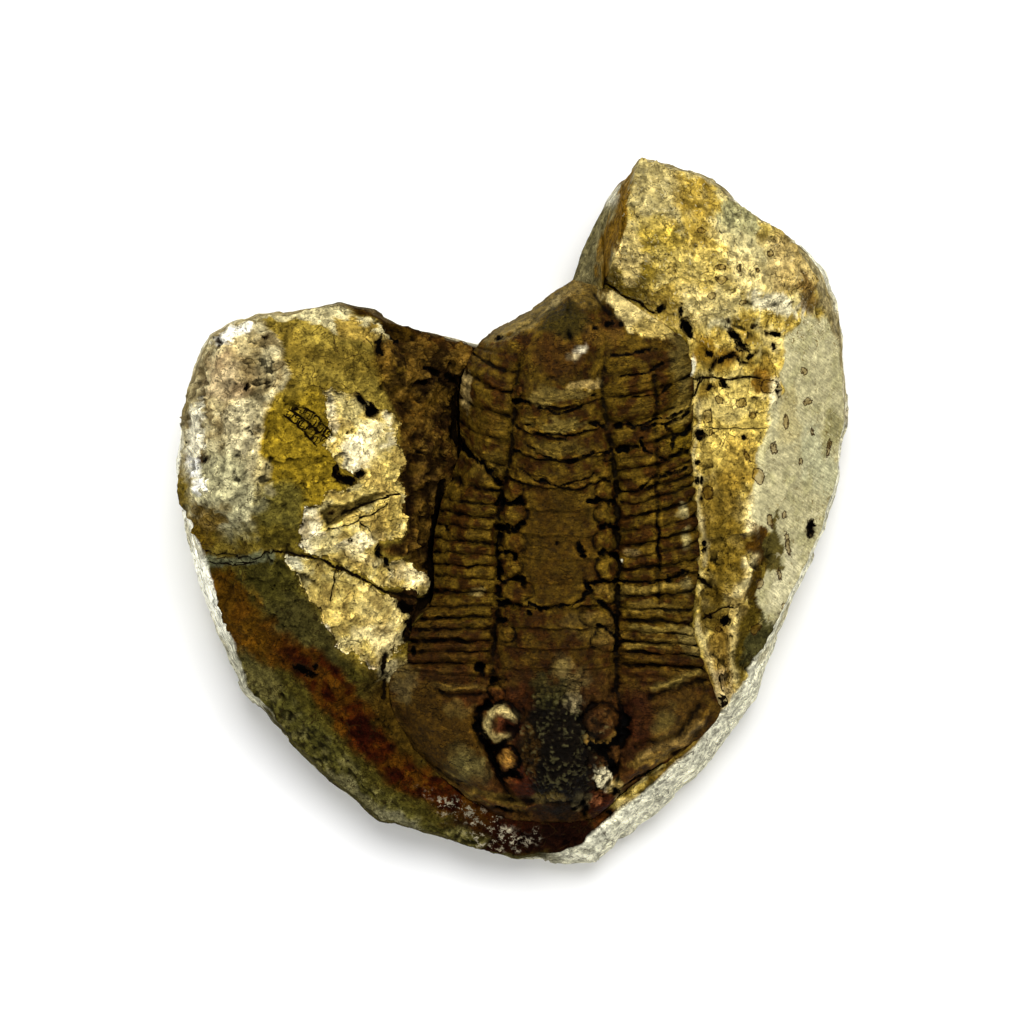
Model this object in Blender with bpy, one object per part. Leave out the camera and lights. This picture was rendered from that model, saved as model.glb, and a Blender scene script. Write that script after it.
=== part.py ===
"""A Calymene trilobite lying in the piece of Silurian dolomite that it was found in.

The stone rests on its flat base with the fossil facing up. X runs across the animal, +Y points
from its head to its tail, and the origin is the middle of the base. Plan places and heights are
written in millimetres and turned to metres once, when a mesh is filled.
"""

import math

import bmesh
import bpy
import numpy as np
from mathutils import Vector
from mathutils.geometry import delaunay_2d_cdt

MM = 0.001

# Driving dimensions
STONE_WIDTH = 67.4            # across the two lobes of the stone
STONE_LENGTH = 70.8           # from the tip of the tall lobe to the front edge
FIT_GAP = 0.3                 # air between the fossil and the wall of its bed
BED_HEIGHT = 9.3              # floor of the bed above the base, at the origin
BED_SLOPE = 0.145             # the bed climbs towards the tail by this much per millimetre
THORAX_SEGMENTS = 13
LAST_STATION = THORAX_SEGMENTS + 4.0   # body stations run 0 at the tail end to this at the front edge
AXIS_SHARE = 0.42             # where the axial furrow lies, 0 at the midline and 1 at the margin

# Stone mesh
STONE_SEGMENTS = 116
TOP_RINGS = 13
WALL_RINGS = 3
UNDER_RINGS = 5
STONE_CENTRE = (9.3, -4.0)    # the stone's outline and its rim are both seen whole from here
BASE_INSET = 3.4              # how far the foot of the stone is drawn in from its widest line

# Fossil mesh
ROWS_PER_SEGMENT = 4
TAIL_ROWS = 9
HEAD_ROWS = 17
FOSSIL_COLUMNS = 30

# Widest line of the stone, anticlockwise from under the tail: x, y, width of the side wall seen
# from above, height of the rim over it, and height of the widest line itself.
STONE_STATIONS = [
    (5.2, 21.6, 0.5, 12.4, 6.5), (1.8, 19.2, 0.5, 12.0, 6.5), (-1.2, 16.6, 0.5, 12.2, 6.5),
    (-3.6, 16.9, 0.5, 13.6, 8.0), (-8.7, 18.1, 0.5, 15.2, 8.5), (-11.4, 18.9, 0.5, 16.2, 9.0),
    (-13.7, 20.1, 0.5, 17.6, 9.5), (-17.2, 20.9, 0.4, 19.2, 10.0), (-22.2, 20.1, 0.4, 19.6, 10.0),
    (-25.7, 19.7, 0.4, 19.0, 9.5), (-28.2, 18.9, 0.4, 18.0, 9.0), (-30.3, 17.7, 0.4, 17.0, 8.5),
    (-31.4, 15.6, 0.4, 16.4, 8.0), (-33.1, 10.0, 0.4, 15.6, 7.5), (-33.7, 4.0, 0.4, 14.6, 7.0),
    (-33.3, 1.0, 0.4, 14.2, 6.5), (-32.6, -3.0, 1.3, 14.2, 6.0), (-31.5, -7.0, 1.5, 13.6, 5.5),
    (-29.9, -11.0, 1.2, 12.6, 5.0), (-28.3, -15.0, 0.8, 11.2, 4.5), (-26.9, -18.0, 0.5, 10.0, 4.5),
    (-21.2, -24.3, 0.4, 8.2, 4.0), (-18.4, -27.0, 0.4, 7.6, 4.0), (-13.4, -31.0, 0.4, 6.8, 3.5),
    (-7.0, -33.0, 0.4, 6.4, 3.5), (0.0, -35.0, 0.4, 6.2, 3.0), (4.8, -35.4, 1.2, 6.6, 2.8),
    (8.0, -35.3, 2.6, 7.4, 2.6), (10.3, -34.1, 3.0, 8.2, 2.6), (11.1, -32.8, 2.6, 8.6, 2.6),
    (13.8, -31.0, 2.8, 9.2, 2.8), (17.1, -28.0, 2.8, 10.0, 3.0), (20.2, -25.0, 2.6, 10.8, 3.2),
    (22.9, -21.0, 2.3, 11.6, 3.4), (24.5, -19.0, 2.4, 12.2, 3.6), (25.3, -16.2, 1.6, 12.6, 4.0),
    (26.9, -12.0, 0.8, 12.0, 4.5), (29.1, -7.0, 0.5, 10.2, 5.0), (31.4, -2.0, 0.4, 9.2, 5.0),
    (32.9, 3.0, 0.4, 9.2, 5.0), (33.7, 11.0, 0.4, 10.2, 5.5), (33.4, 16.0, 0.6, 11.8, 6.0),
    (32.6, 21.0, 1.7, 14.4, 6.5), (31.3, 24.2, 1.3, 16.8, 7.0), (28.5, 27.0, 0.5, 19.2, 8.0),
    (25.4, 29.0, 0.4, 21.2, 9.0), (19.8, 33.2, 0.4, 24.0, 10.0), (17.9, 34.1, 0.4, 24.6, 10.0),
    (12.8, 35.4, 0.4, 26.0, 10.0), (11.6, 33.4, 0.6, 26.0, 10.0), (9.4, 31.0, 2.0, 26.0, 9.5),
    (7.9, 28.0, 3.1, 25.6, 9.0), (6.8, 25.5, 3.2, 24.4, 8.5), (6.1, 23.2, 3.0, 22.4, 8.0),
]

# Spot heights on the stone's broken upper face: x, y, z
SPOT_HEIGHTS = {
    "left lobe crest": [
        (-27.7, 17.5, 22.6), (-25.0, 15.0, 24.3), (-25.0, 9.0, 25.4), (-25.0, 3.0, 25.0),
        (-25.7, -2.5, 22.4),
    ],
    "left lobe outer edge": [
        (-30.7, 15.6, 20.0), (-31.6, 11.0, 19.4), (-32.0, 6.0, 19.0), (-32.3, 1.5, 18.2),
        (-31.4, -3.4, 16.4),
    ],
    "left lobe inner face": [
        (-21.2, 16.5, 24.2), (-16.7, 15.8, 23.2), (-12.7, 14.5, 21.2), (-21.2, 11.0, 25.0),
        (-18.7, 7.0, 24.8), (-19.2, 1.0, 23.8), (-21.2, -3.0, 22.2),
    ],
    "lobe top bevel": [(-21.2, 19.0, 22.2), (-16.7, 17.7, 21.9), (-12.0, 15.9, 19.8)],
    "far rim hollow": [
        (-11.2, 16.5, 18.2), (-7.2, 15.5, 15.8), (-4.4, 15.8, 14.2), (-8.2, 11.0, 15.6),
    ],
    "chipped face": [
        (-17.7, 11.0, 23.8), (-15.2, 11.0, 22.8), (-12.7, 8.0, 20.8), (-11.7, 3.0, 19.2),
        (-16.7, 4.0, 23.2), (-15.2, 1.0, 22.0), (-18.2, -1.0, 23.0), (-11.2, -1.0, 18.0),
        (-12.7, -5.0, 18.8), (-8.8, -8.0, 15.8),
    ],
    "slope to the fossil": [
        (-10.2, 8.0, 17.3), (-6.4, 6.6, 14.6), (-7.8, 1.0, 14.2), (-9.7, -3.0, 15.0),
        (-8.4, -5.6, 14.4), (-10.6, -13.0, 14.2), (-12.6, -16.0, 12.9),
    ],
    "above the cross crack": [(-30.6, -4.0, 15.9), (-26.0, -4.2, 20.0), (-20.6, -4.6, 20.9)],
    "below the cross crack": [(-30.2, -5.4, 14.6), (-26.0, -5.6, 18.2), (-20.6, -6.0, 19.4)],
    "fresh triangle": [
        (-18.2, -11.0, 17.6), (-11.4, -10.6, 15.8), (-12.4, -14.6, 13.8), (-16.7, -13.0, 16.0),
    ],
    "front left slope": [
        (-25.2, -8.0, 17.2), (-21.2, -13.0, 15.8), (-16.2, -15.5, 14.0), (-13.2, -17.2, 12.5),
        (-27.2, -11.0, 14.6), (-21.2, -17.0, 12.6), (-17.2, -21.0, 11.4), (-12.2, -25.0, 10.0),
        (-7.2, -29.0, 8.6), (-9.2, -22.0, 11.2), (-3.2, -32.0, 7.2), (4.8, -32.5, 7.6),
        (9.8, -30.2, 9.2), (7.8, -31.5, 8.6),
    ],
    "band beside the fossil": [
        (18.8, 13.0, 18.9), (19.0, 6.0, 17.9), (19.3, -1.0, 16.8), (19.6, -7.0, 15.7),
        (19.8, -13.0, 14.2), (21.3, -19.0, 12.2),
    ],
    "right ridge": [
        (26.6, 17.0, 21.0), (26.3, 13.0, 20.6), (25.3, 8.0, 20.0), (24.3, 3.0, 19.1),
        (23.6, -2.0, 18.0), (23.0, -8.0, 16.4), (22.8, -14.0, 14.4), (22.3, -18.5, 12.6),
    ],
    "sawn bevel": [(30.3, 11.0, 14.6), (29.4, 3.0, 13.2), (28.0, -5.0, 12.0)],
    "tall lobe": [
        (14.8, 29.0, 27.0), (13.8, 24.0, 25.8), (18.8, 27.0, 25.9), (22.8, 24.0, 24.3),
        (27.8, 22.0, 20.8), (30.4, 21.0, 17.4), (18.8, 20.0, 23.4), (23.8, 19.0, 22.3),
        (27.8, 18.8, 20.0),
    ],
    "tall lobe to tail": [(13.3, 20.8, 22.4), (16.8, 18.0, 20.6), (18.8, 16.0, 19.9)],
    "crest over the notch": [(11.3, 31.5, 26.3), (11.0, 27.5, 25.9), (9.5, 22.7, 23.2)],
}

# The fossil's outline and furrows in plan. Each row: station along the body, then x and y of the
# left margin, left axial furrow, midline, right axial furrow and right margin.
BODY_STATIONS = [
    (0.0, -2.2, 16.8, 1.6, 19.8, 6.2, 22.7, 10.0, 21.9, 17.2, 17.2),
    (1.0, -4.8, 14.8, 0.6, 13.8, 4.5, 13.1, 9.0, 13.8, 17.8, 15.8),
    (2.0, -5.2, 12.7, 0.4, 11.3, 4.5, 10.4, 9.0, 11.4, 18.0, 13.6),
    (3.0, -5.3, 10.5, 0.1, 8.7, 4.5, 7.6, 9.4, 8.8, 18.1, 11.4),
    (4.0, -5.2, 8.2, -0.1, 6.1, 4.8, 5.0, 9.9, 6.3, 18.0, 8.6),
    (5.0, -5.1, 5.8, -0.6, 3.6, 5.0, 2.3, 10.2, 3.8, 17.9, 5.8),
    (6.0, -6.4, 2.8, -1.2, 1.0, 4.8, -0.1, 10.4, 1.0, 18.2, 3.0),
    (7.0, -7.2, -0.4, -1.3, -1.6, 4.7, -2.6, 10.5, -1.7, 18.5, 0.0),
    (8.0, -7.8, -3.3, -1.4, -4.1, 4.7, -5.0, 10.6, -4.3, 18.7, -3.0),
    (9.0, -7.9, -5.9, -1.4, -6.5, 4.6, -7.3, 10.6, -6.8, 18.6, -5.8),
    (10.0, -8.2, -9.0, -1.5, -8.9, 4.5, -9.6, 10.6, -9.0, 18.2, -8.8),
    (11.0, -10.0, -11.6, -1.6, -11.2, 4.3, -11.8, 10.4, -11.1, 18.1, -11.6),
    (12.0, -10.4, -13.5, -1.7, -13.3, 4.2, -13.9, 10.4, -13.2, 18.7, -13.8),
    (13.0, -10.6, -15.2, -1.9, -15.4, 4.1, -15.9, 10.4, -15.4, 19.5, -15.8),
    (14.0, -12.2, -16.2, -2.0, -17.7, 4.1, -18.0, 10.5, -18.0, 20.4, -18.0),
    (14.6, -12.1, -18.6, -2.6, -19.8, 4.1, -20.0, 11.0, -20.0, 20.9, -19.8),
    (15.3, -11.2, -21.4, -2.4, -23.0, 4.1, -23.4, 11.0, -23.0, 19.3, -22.2),
    (16.0, -8.2, -25.5, -1.4, -26.3, 4.3, -26.8, 10.3, -26.0, 15.2, -25.4),
    (16.5, -4.4, -28.7, 0.0, -28.8, 4.3, -29.0, 8.6, -28.6, 11.8, -27.6),
    (17.0, -1.5, -30.4, 1.3, -31.0, 4.1, -31.2, 6.8, -31.0, 9.4, -29.8),
]

# Heights along the body: station, axial furrow, rise of the axial lobe over it, swell of the
# pleural lobes, left margin and right margin.
BODY_HEIGHTS = [
    (0.0, 15.0, 0.5, 0.2, 13.2, 20.2),
    (0.25, 18.8, 1.2, 0.4, 15.6, 20.2),
    (1.0, 19.8, 2.2, 0.8, 16.0, 19.6),
    (3.0, 19.4, 2.5, 0.9, 15.4, 18.6),
    (5.0, 18.0, 2.6, 0.9, 14.6, 17.8),
    (8.0, 16.6, 2.5, 0.9, 13.6, 16.6),
    (10.0, 15.8, 2.5, 0.9, 13.8, 15.6),
    (12.0, 14.9, 2.5, 0.9, 13.6, 14.6),
    (14.0, 13.8, 2.7, 1.2, 12.8, 13.0),
    (15.3, 12.4, 3.2, 1.6, 11.2, 11.6),
    (16.3, 10.6, 2.6, 1.2, 9.8, 10.2),
    (17.0, 8.6, 0.4, 0.2, 8.4, 8.8),
]

# Knobs of the head: x, y, radius, height
HEAD_KNOBS = [
    (-1.3, -21.2, 1.8, 1.5), (8.9, -21.4, 1.8, 1.5),      # basal lobes of the glabella
    (-0.5, -25.0, 1.1, 1.1), (9.1, -25.0, 1.1, 1.1),      # second lobes
    (4.1, -24.6, 4.2, 1.3),                               # middle of the glabella
    (-5.4, -25.2, 1.7, 0.8), (14.0, -23.6, 1.7, 0.8),     # eye ridges on the cheeks
]


def clear_scene():
    for thing in list(bpy.data.objects):
        bpy.data.objects.remove(thing, do_unlink=True)


def material(name, colour, roughness):
    made = bpy.data.materials.new(name)
    made.use_nodes = True
    shader = made.node_tree.nodes["Principled BSDF"]
    shader.inputs["Base Color"].default_value = (*colour, 1.0)
    shader.inputs["Roughness"].default_value = roughness
    shader.inputs["Metallic"].default_value = 0.0
    return made


def smoothstep(low, high, value):
    share = np.clip((value - low) / (high - low), 0.0, 1.0)
    return share * share * (3.0 - 2.0 * share)


def ripple(x, y, z, seed):
    """Slow unevenness between -1 and 1, from a few sine waves laid across each other."""
    random = np.random.default_rng(seed)
    total = np.zeros_like(np.asarray(x, float))
    for _ in range(7):
        wave = random.normal(0.0, 0.34, 3)
        total += np.sin(x * wave[0] + y * wave[1] + z * wave[2] + random.uniform(0.0, math.tau))
    return total / 3.5


def curve_through(stations, position, column):
    """Catmull-Rom value of one column of a station table, at positions along the first column."""
    table = np.asarray(stations, float)
    knots, values = table[:, 0], table[:, column]
    slopes = np.gradient(values, knots)
    after = np.clip(np.searchsorted(knots, position, side="right"), 1, len(knots) - 1)
    before = after - 1
    span = knots[after] - knots[before]
    part = (position - knots[before]) / span
    return (
        values[before] * (2 * part**3 - 3 * part**2 + 1)
        + values[after] * (3 * part**2 - 2 * part**3)
        + slopes[before] * span * (part**3 - 2 * part**2 + part)
        + slopes[after] * span * (part**3 - part**2)
    )


class Relief:
    """Height of the stone's broken face: flat facets between spot heights, slightly worn."""

    WEAR = 0.5      # the facets' edges are rounded over this distance

    def __init__(self, spots):
        self.spots = np.asarray(spots, float)
        plan = [Vector((x, y)) for x, y, _ in spots]
        facets = delaunay_2d_cdt(plan, [], [], 0, 1e-5)[2]
        self.facets = np.asarray([facet[:3] for facet in facets])

    def facet_height(self, x, y):
        a, b, c = (self.spots[self.facets[:, corner]] for corner in range(3))
        area = (b[:, 1] - c[:, 1]) * (a[:, 0] - c[:, 0]) + (c[:, 0] - b[:, 0]) * (a[:, 1] - c[:, 1])
        across, along = x[:, None] - c[:, 0], y[:, None] - c[:, 1]
        first = ((b[:, 1] - c[:, 1]) * across + (c[:, 0] - b[:, 0]) * along) / area
        second = ((c[:, 1] - a[:, 1]) * across + (a[:, 0] - c[:, 0]) * along) / area
        third = 1.0 - first - second
        inside = np.minimum(np.minimum(first, second), third).argmax(axis=1)
        row = np.arange(len(x))
        return (
            first[row, inside] * a[inside, 2]
            + second[row, inside] * b[inside, 2]
            + third[row, inside] * c[inside, 2]
        )

    def height(self, x, y):
        total = self.facet_height(x, y) * 2.0
        for aside, ahead in ((1, 0), (-1, 0), (0, 1), (0, -1)):
            total += self.facet_height(x + aside * self.WEAR, y + ahead * self.WEAR)
        return total / 6.0


def stone_edge(share):
    """Widest line, rim and their heights at shares of the way round the stone."""
    table = np.asarray(STONE_STATIONS + STONE_STATIONS[:1], float)
    length = np.concatenate([[0.0], np.cumsum(np.hypot(*np.diff(table[:, :2], axis=0).T))])
    at = share * length[-1]
    x, y, wall, rim_height, wide_height = (np.interp(at, length, column) for column in table.T)
    ahead, behind = (at + 0.8) % length[-1], (at - 0.8) % length[-1]
    along_x = np.interp(ahead, length, table[:, 0]) - np.interp(behind, length, table[:, 0])
    along_y = np.interp(ahead, length, table[:, 1]) - np.interp(behind, length, table[:, 1])
    norm = np.hypot(along_x, along_y)
    inward = np.stack([-along_y / norm, along_x / norm])
    return x, y, x + inward[0] * wall, y + inward[1] * wall, rim_height, wide_height


def stone_point(share, ring, relief):
    """Place on the stone for a share of the way round and a ring number from top to underside."""
    x, y, rim_x, rim_y, _, wide_height = stone_edge(share)
    middle_x, middle_y = STONE_CENTRE
    top = np.clip(ring / TOP_RINGS, 0.0, 1.0)
    wall = np.clip((ring - TOP_RINGS) / WALL_RINGS, 0.0, 1.0)
    under = np.clip((ring - TOP_RINGS - WALL_RINGS) / UNDER_RINGS, 0.0, 1.0)

    top_x = middle_x + (rim_x - middle_x) * top
    top_y = middle_y + (rim_y - middle_y) * top
    top_z = relief.height(top_x, top_y) + 0.18 * ripple(top_x, top_y, 0.0 * top_x, 3)

    turn = np.clip(under / 0.6, 0.0, 1.0) * math.pi / 2.0    # round from the widest line to the base
    inset = 1.0 - (1.0 - np.cos(turn)) * BASE_INSET / np.hypot(x - middle_x, y - middle_y)
    drawn_in = inset * (1.0 - np.clip((under - 0.6) / 0.4, 0.0, 1.0))
    low_x = middle_x + (x - middle_x) * drawn_in
    low_y = middle_y + (y - middle_y) * drawn_in
    low_z = wide_height * (1.0 - np.sin(turn))

    below = (ring > TOP_RINGS + WALL_RINGS)
    wall_x, wall_y = rim_x + (x - rim_x) * wall, rim_y + (y - rim_y) * wall
    wall_z = top_z + (wide_height - top_z) * wall
    side = (ring > TOP_RINGS) & ~below
    return (
        np.select([side, below], [wall_x, low_x], top_x),
        np.select([side, below], [wall_y, low_y], top_y),
        np.select([side, below], [wall_z, low_z], top_z),
    )


def build_stone(finish):
    """A UV sphere whose rings are laid over the upper face, down the sides and under the base."""
    rings = TOP_RINGS + WALL_RINGS + UNDER_RINGS
    spots = [spot for area in SPOT_HEIGHTS.values() for spot in area]
    count = len(STONE_STATIONS)
    corner_share = np.arange(count * 2) / (count * 2.0)
    _, _, rim_x, rim_y, rim_z, _ = stone_edge(corner_share)
    relief = Relief(spots + list(zip(rim_x, rim_y, rim_z)))

    ball = bmesh.new()
    bmesh.ops.create_uvsphere(ball, u_segments=STONE_SEGMENTS, v_segments=rings, radius=1.0)
    place = np.array([vertex.co for vertex in ball.verts])
    share = (np.arctan2(place[:, 1], place[:, 0]) / math.tau) % 1.0
    ring = np.round(np.arccos(np.clip(place[:, 2], -1.0, 1.0)) / math.pi * rings)
    x, y, z = stone_point(share, ring, relief)
    for vertex, spot in zip(ball.verts, np.stack([x, y, z], axis=1)):
        vertex.co = Vector(spot) * MM
    bmesh.ops.recalc_face_normals(ball, faces=ball.faces)
    return new_object("matrix", ball, finish)


def body_plan(station, side):
    """Plan place for a station along the body and a side from -1, left margin, to 1, right."""
    columns = [curve_through(BODY_STATIONS, station, column) for column in range(1, 11)]
    left_x, left_y, groove_lx, groove_ly, mid_x, mid_y, groove_rx, groove_ry, right_x, right_y = columns
    left = side < 0.0
    groove_x, groove_y = np.where(left, groove_lx, groove_rx), np.where(left, groove_ly, groove_ry)
    edge_x, edge_y = np.where(left, left_x, right_x), np.where(left, left_y, right_y)
    reach = np.abs(side)
    on_axis = np.clip(reach / AXIS_SHARE, 0.0, 1.0)
    on_pleura = np.clip((reach - AXIS_SHARE) / (1.0 - AXIS_SHARE), 0.0, 1.0)
    x = mid_x + (groove_x - mid_x) * on_axis + (edge_x - groove_x) * on_pleura
    y = mid_y + (groove_y - mid_y) * on_axis**2 + (edge_y - groove_y) * on_pleura**2.0
    return x, y


def segment_relief(station, reach):
    """Rings of the axial lobe, and the paired ridges of the pleurae, as a height to add."""
    part = station % 1.0
    ring = smoothstep(0.0, 0.45, part) * (1.0 - smoothstep(0.84, 1.0, part))
    pair = np.abs(np.sin(math.tau * part)) ** 0.8 * np.where(part < 0.5, 1.0, 0.85)
    on_axis = 1.0 - smoothstep(AXIS_SHARE - 0.04, AXIS_SHARE + 0.02, reach)
    on_pleura = smoothstep(AXIS_SHARE, AXIS_SHARE + 0.08, reach)
    in_thorax = smoothstep(0.2, 1.4, station) * (1.0 - smoothstep(13.8, 14.1, station))
    return in_thorax * (0.85 * ring * on_axis + 0.75 * pair * on_pleura)


def body_height(station, side, x, y):
    """Height of the fossil's skin over the base."""
    furrow, rise, swell, left, right = (
        curve_through(BODY_HEIGHTS, station, column) for column in range(1, 6)
    )
    reach = np.abs(side)
    on_axis = np.clip(reach / AXIS_SHARE, 0.0, 1.0)
    on_pleura = np.clip((reach - AXIS_SHARE) / (1.0 - AXIS_SHARE), 0.0, 1.0)
    margin = np.where(side < 0.0, left, right)
    z = furrow + rise * np.sqrt(np.clip(1.0 - on_axis**2.4, 0.0, 1.0))
    z += swell * np.sin(math.pi * np.clip(on_pleura / 0.9, 0.0, 1.0))
    z += (margin - furrow) * on_pleura**1.8
    z -= 0.9 * np.exp(-(((reach - AXIS_SHARE) / 0.035) ** 2))
    z += segment_relief(station, reach)
    for knob_x, knob_y, radius, height in HEAD_KNOBS:
        away = np.hypot(x - knob_x, y - knob_y) / radius
        z += height * np.sqrt(np.clip(1.0 - away**2, 0.0, 1.0))
    border = smoothstep(0.78, 0.86, reach) * (1.0 - smoothstep(0.9, 1.0, reach))
    z += 0.5 * border * smoothstep(14.2, 14.8, station)
    z -= 0.5 * np.exp(-(((station - 16.55) / 0.12) ** 2))
    return z


def bed_floor(y):
    return BED_HEIGHT + BED_SLOPE * y


def body_rows():
    tail = np.linspace(0.0, 1.0, TAIL_ROWS, endpoint=False)
    thorax = np.arange(THORAX_SEGMENTS * ROWS_PER_SEGMENT) / ROWS_PER_SEGMENT + 1.0
    head = np.linspace(THORAX_SEGMENTS + 1.0, LAST_STATION, HEAD_ROWS)
    return np.concatenate([tail, thorax, head])


def body_columns():
    """Sides of the columns, closer together in the axial furrows."""
    even = np.linspace(-1.0, 1.0, FOSSIL_COLUMNS + 1)
    return even + 0.045 * np.sin(even * math.pi / AXIS_SHARE) * (np.abs(even) < 2 * AXIS_SHARE)


def build_fossil(finish):
    """A grid bent over the animal's back, its edge drawn straight down and closed flat below."""
    rows, columns = body_rows(), body_columns()
    sheet = bmesh.new()
    bmesh.ops.create_grid(
        sheet, x_segments=len(columns) - 1, y_segments=len(rows) - 1, size=1.0
    )
    place = np.array([vertex.co for vertex in sheet.verts])
    side = columns[np.round((place[:, 0] + 1.0) / 2.0 * (len(columns) - 1)).astype(int)]
    station = rows[np.round((1.0 - place[:, 1]) / 2.0 * (len(rows) - 1)).astype(int)]
    x, y = body_plan(station, side)
    z = body_height(station, side, x, y)
    for vertex, spot in zip(sheet.verts, np.stack([x, y, z], axis=1)):
        vertex.co = Vector(spot) * MM

    edge = [line for line in sheet.edges if line.is_boundary]
    skirt = bmesh.ops.extrude_edge_only(sheet, edges=edge)["geom"]
    for vertex in (item for item in skirt if isinstance(item, bmesh.types.BMVert)):
        vertex.co.z = (bed_floor(vertex.co.y / MM) + FIT_GAP) * MM
    foot = [line for line in sheet.edges if line.is_boundary]
    bmesh.ops.holes_fill(sheet, edges=foot, sides=0)
    bmesh.ops.triangulate(sheet, faces=[face for face in sheet.faces if len(face.verts) > 4])
    bmesh.ops.recalc_face_normals(sheet, faces=sheet.faces)
    return new_object("trilobite", sheet, finish)


def fossil_outline(gap):
    """The fossil's outline in plan, anticlockwise, moved outwards by a gap."""
    rows, columns = body_rows(), body_columns()
    left = body_plan(rows, np.full_like(rows, -1.0))
    front = body_plan(np.full_like(columns, rows[-1]), columns)
    right = body_plan(rows[::-1], np.full_like(rows, 1.0))
    tail = body_plan(np.full_like(columns, rows[0]), columns[::-1])
    outline = np.concatenate([np.stack(run, axis=1)[:-1] for run in (left, front, right, tail)])
    along = np.roll(outline, -1, axis=0) - np.roll(outline, 1, axis=0)
    outward = np.stack([along[:, 1], -along[:, 0]], axis=1)
    return outline + gap * outward / np.linalg.norm(outward, axis=1)[:, None]


def build_bed_cutter():
    """The bed that the fossil lies in: its outline with a gap, from a sloping floor upwards."""
    block = bmesh.new()
    corners = [block.verts.new((x * MM, y * MM, bed_floor(y) * MM)) for x, y in fossil_outline(FIT_GAP)]
    floor = block.faces.new(corners)
    raised = bmesh.ops.extrude_face_region(block, geom=[floor])["geom"]
    for vertex in (item for item in raised if isinstance(item, bmesh.types.BMVert)):
        vertex.co.z = 40.0 * MM
    bmesh.ops.recalc_face_normals(block, faces=block.faces)
    cutter = new_object("bed_cutter", block, None)
    cutter.hide_render = True
    cutter.display_type = "WIRE"
    return cutter


def new_object(name, shape, finish):
    mesh = bpy.data.meshes.new(name)
    shape.to_mesh(mesh)
    shape.free()
    if finish:
        mesh.materials.append(finish)
    return bpy.data.objects.new(name, mesh)


def new_collection(name, *members):
    collection = bpy.data.collections.new(name)
    bpy.context.scene.collection.children.link(collection)
    for member in members:
        collection.objects.link(member)


def main():
    clear_scene()
    dolomite = material("weathered_dolomite", (0.36, 0.27, 0.08), 0.85)
    shell = material("iron_stained_fossil", (0.075, 0.042, 0.010), 0.55)
    stone = build_stone(dolomite)
    fossil = build_fossil(shell)
    cutter = build_bed_cutter()
    new_collection("trilobite_fossil", stone, fossil)
    new_collection("cutters", cutter)

    bed = stone.modifiers.new("bed", "BOOLEAN")
    bed.operation = "DIFFERENCE"
    bed.object = cutter
    fossil.data.shade_smooth()
    fossil.data.set_sharp_from_angle(angle=math.radians(40))


main()
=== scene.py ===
import functools
import math

import bpy
import numpy as np
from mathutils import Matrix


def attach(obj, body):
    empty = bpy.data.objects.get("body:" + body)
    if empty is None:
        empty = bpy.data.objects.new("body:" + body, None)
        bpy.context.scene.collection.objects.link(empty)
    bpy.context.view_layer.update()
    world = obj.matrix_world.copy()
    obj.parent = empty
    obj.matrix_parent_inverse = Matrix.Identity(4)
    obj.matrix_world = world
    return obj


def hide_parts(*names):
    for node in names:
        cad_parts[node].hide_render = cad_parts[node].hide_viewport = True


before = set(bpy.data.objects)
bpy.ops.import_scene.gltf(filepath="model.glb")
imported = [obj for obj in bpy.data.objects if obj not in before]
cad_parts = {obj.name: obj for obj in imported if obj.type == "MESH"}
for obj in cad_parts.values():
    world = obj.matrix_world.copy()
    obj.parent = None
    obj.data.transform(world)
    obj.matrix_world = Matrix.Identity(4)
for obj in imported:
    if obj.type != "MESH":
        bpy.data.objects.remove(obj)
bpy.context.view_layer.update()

mm = 0.001      # the tables below are in millimetres, +Y towards the animal's tail


# Sums that both pieces use

def ease(low, high, value):
    # an S-curve: 0 up to low, 1 from high on, three squares less two cubes of the share between
    share = np.clip((value - low) / (high - low), 0.0, 1.0)
    return share * share * (3.0 - 2.0 * share)


def scramble(corner, seed):
    # a large whole number for each lattice corner: its integers times primes, folded on themselves
    mixed = (corner @ np.array([374761393, 668265263, 1103515245]) + seed * 9753133) & 0xFFFFFFFF
    mixed = ((mixed ^ (mixed >> 13)) * 1274126177) & 0xFFFFFFFF
    return mixed ^ (mixed >> 16)


# the twelve leans of a lattice corner, towards the middles of a cube's edges
leans = np.array([
    (1, 1, 0), (-1, 1, 0), (1, -1, 0), (-1, -1, 0), (1, 0, 1), (-1, 0, 1),
    (1, 0, -1), (-1, 0, -1), (0, 1, 1), (0, -1, 1), (0, 1, -1), (0, -1, -1),
], float)


def noise(place, size, seed):
    # gradient noise, about -1 to 1: every corner of a lattice with this spacing has one of twelve
    # leans, and the eight corners round a place are blended with a fifth-power S-curve
    scaled = place / size
    corner = np.floor(scaled).astype(np.int64)
    inside = scaled - corner
    blend = inside**3 * (inside * (inside * 6.0 - 15.0) + 10.0)
    total = np.zeros(len(place))
    for step in np.ndindex(2, 2, 2):
        lean = leans[scramble(corner + step, seed) % 12]
        weight = np.prod(np.where(step, blend, 1.0 - blend), axis=1)
        total += weight * np.einsum("ij,ij->i", lean, inside - step)
    return total


def fractal(place, size, octaves, seed):
    # noise laid over itself, each layer half as large and half as strong as the last
    return sum(noise(place, size / 2**layer, seed + layer) * 0.5**layer for layer in range(octaves))


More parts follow.
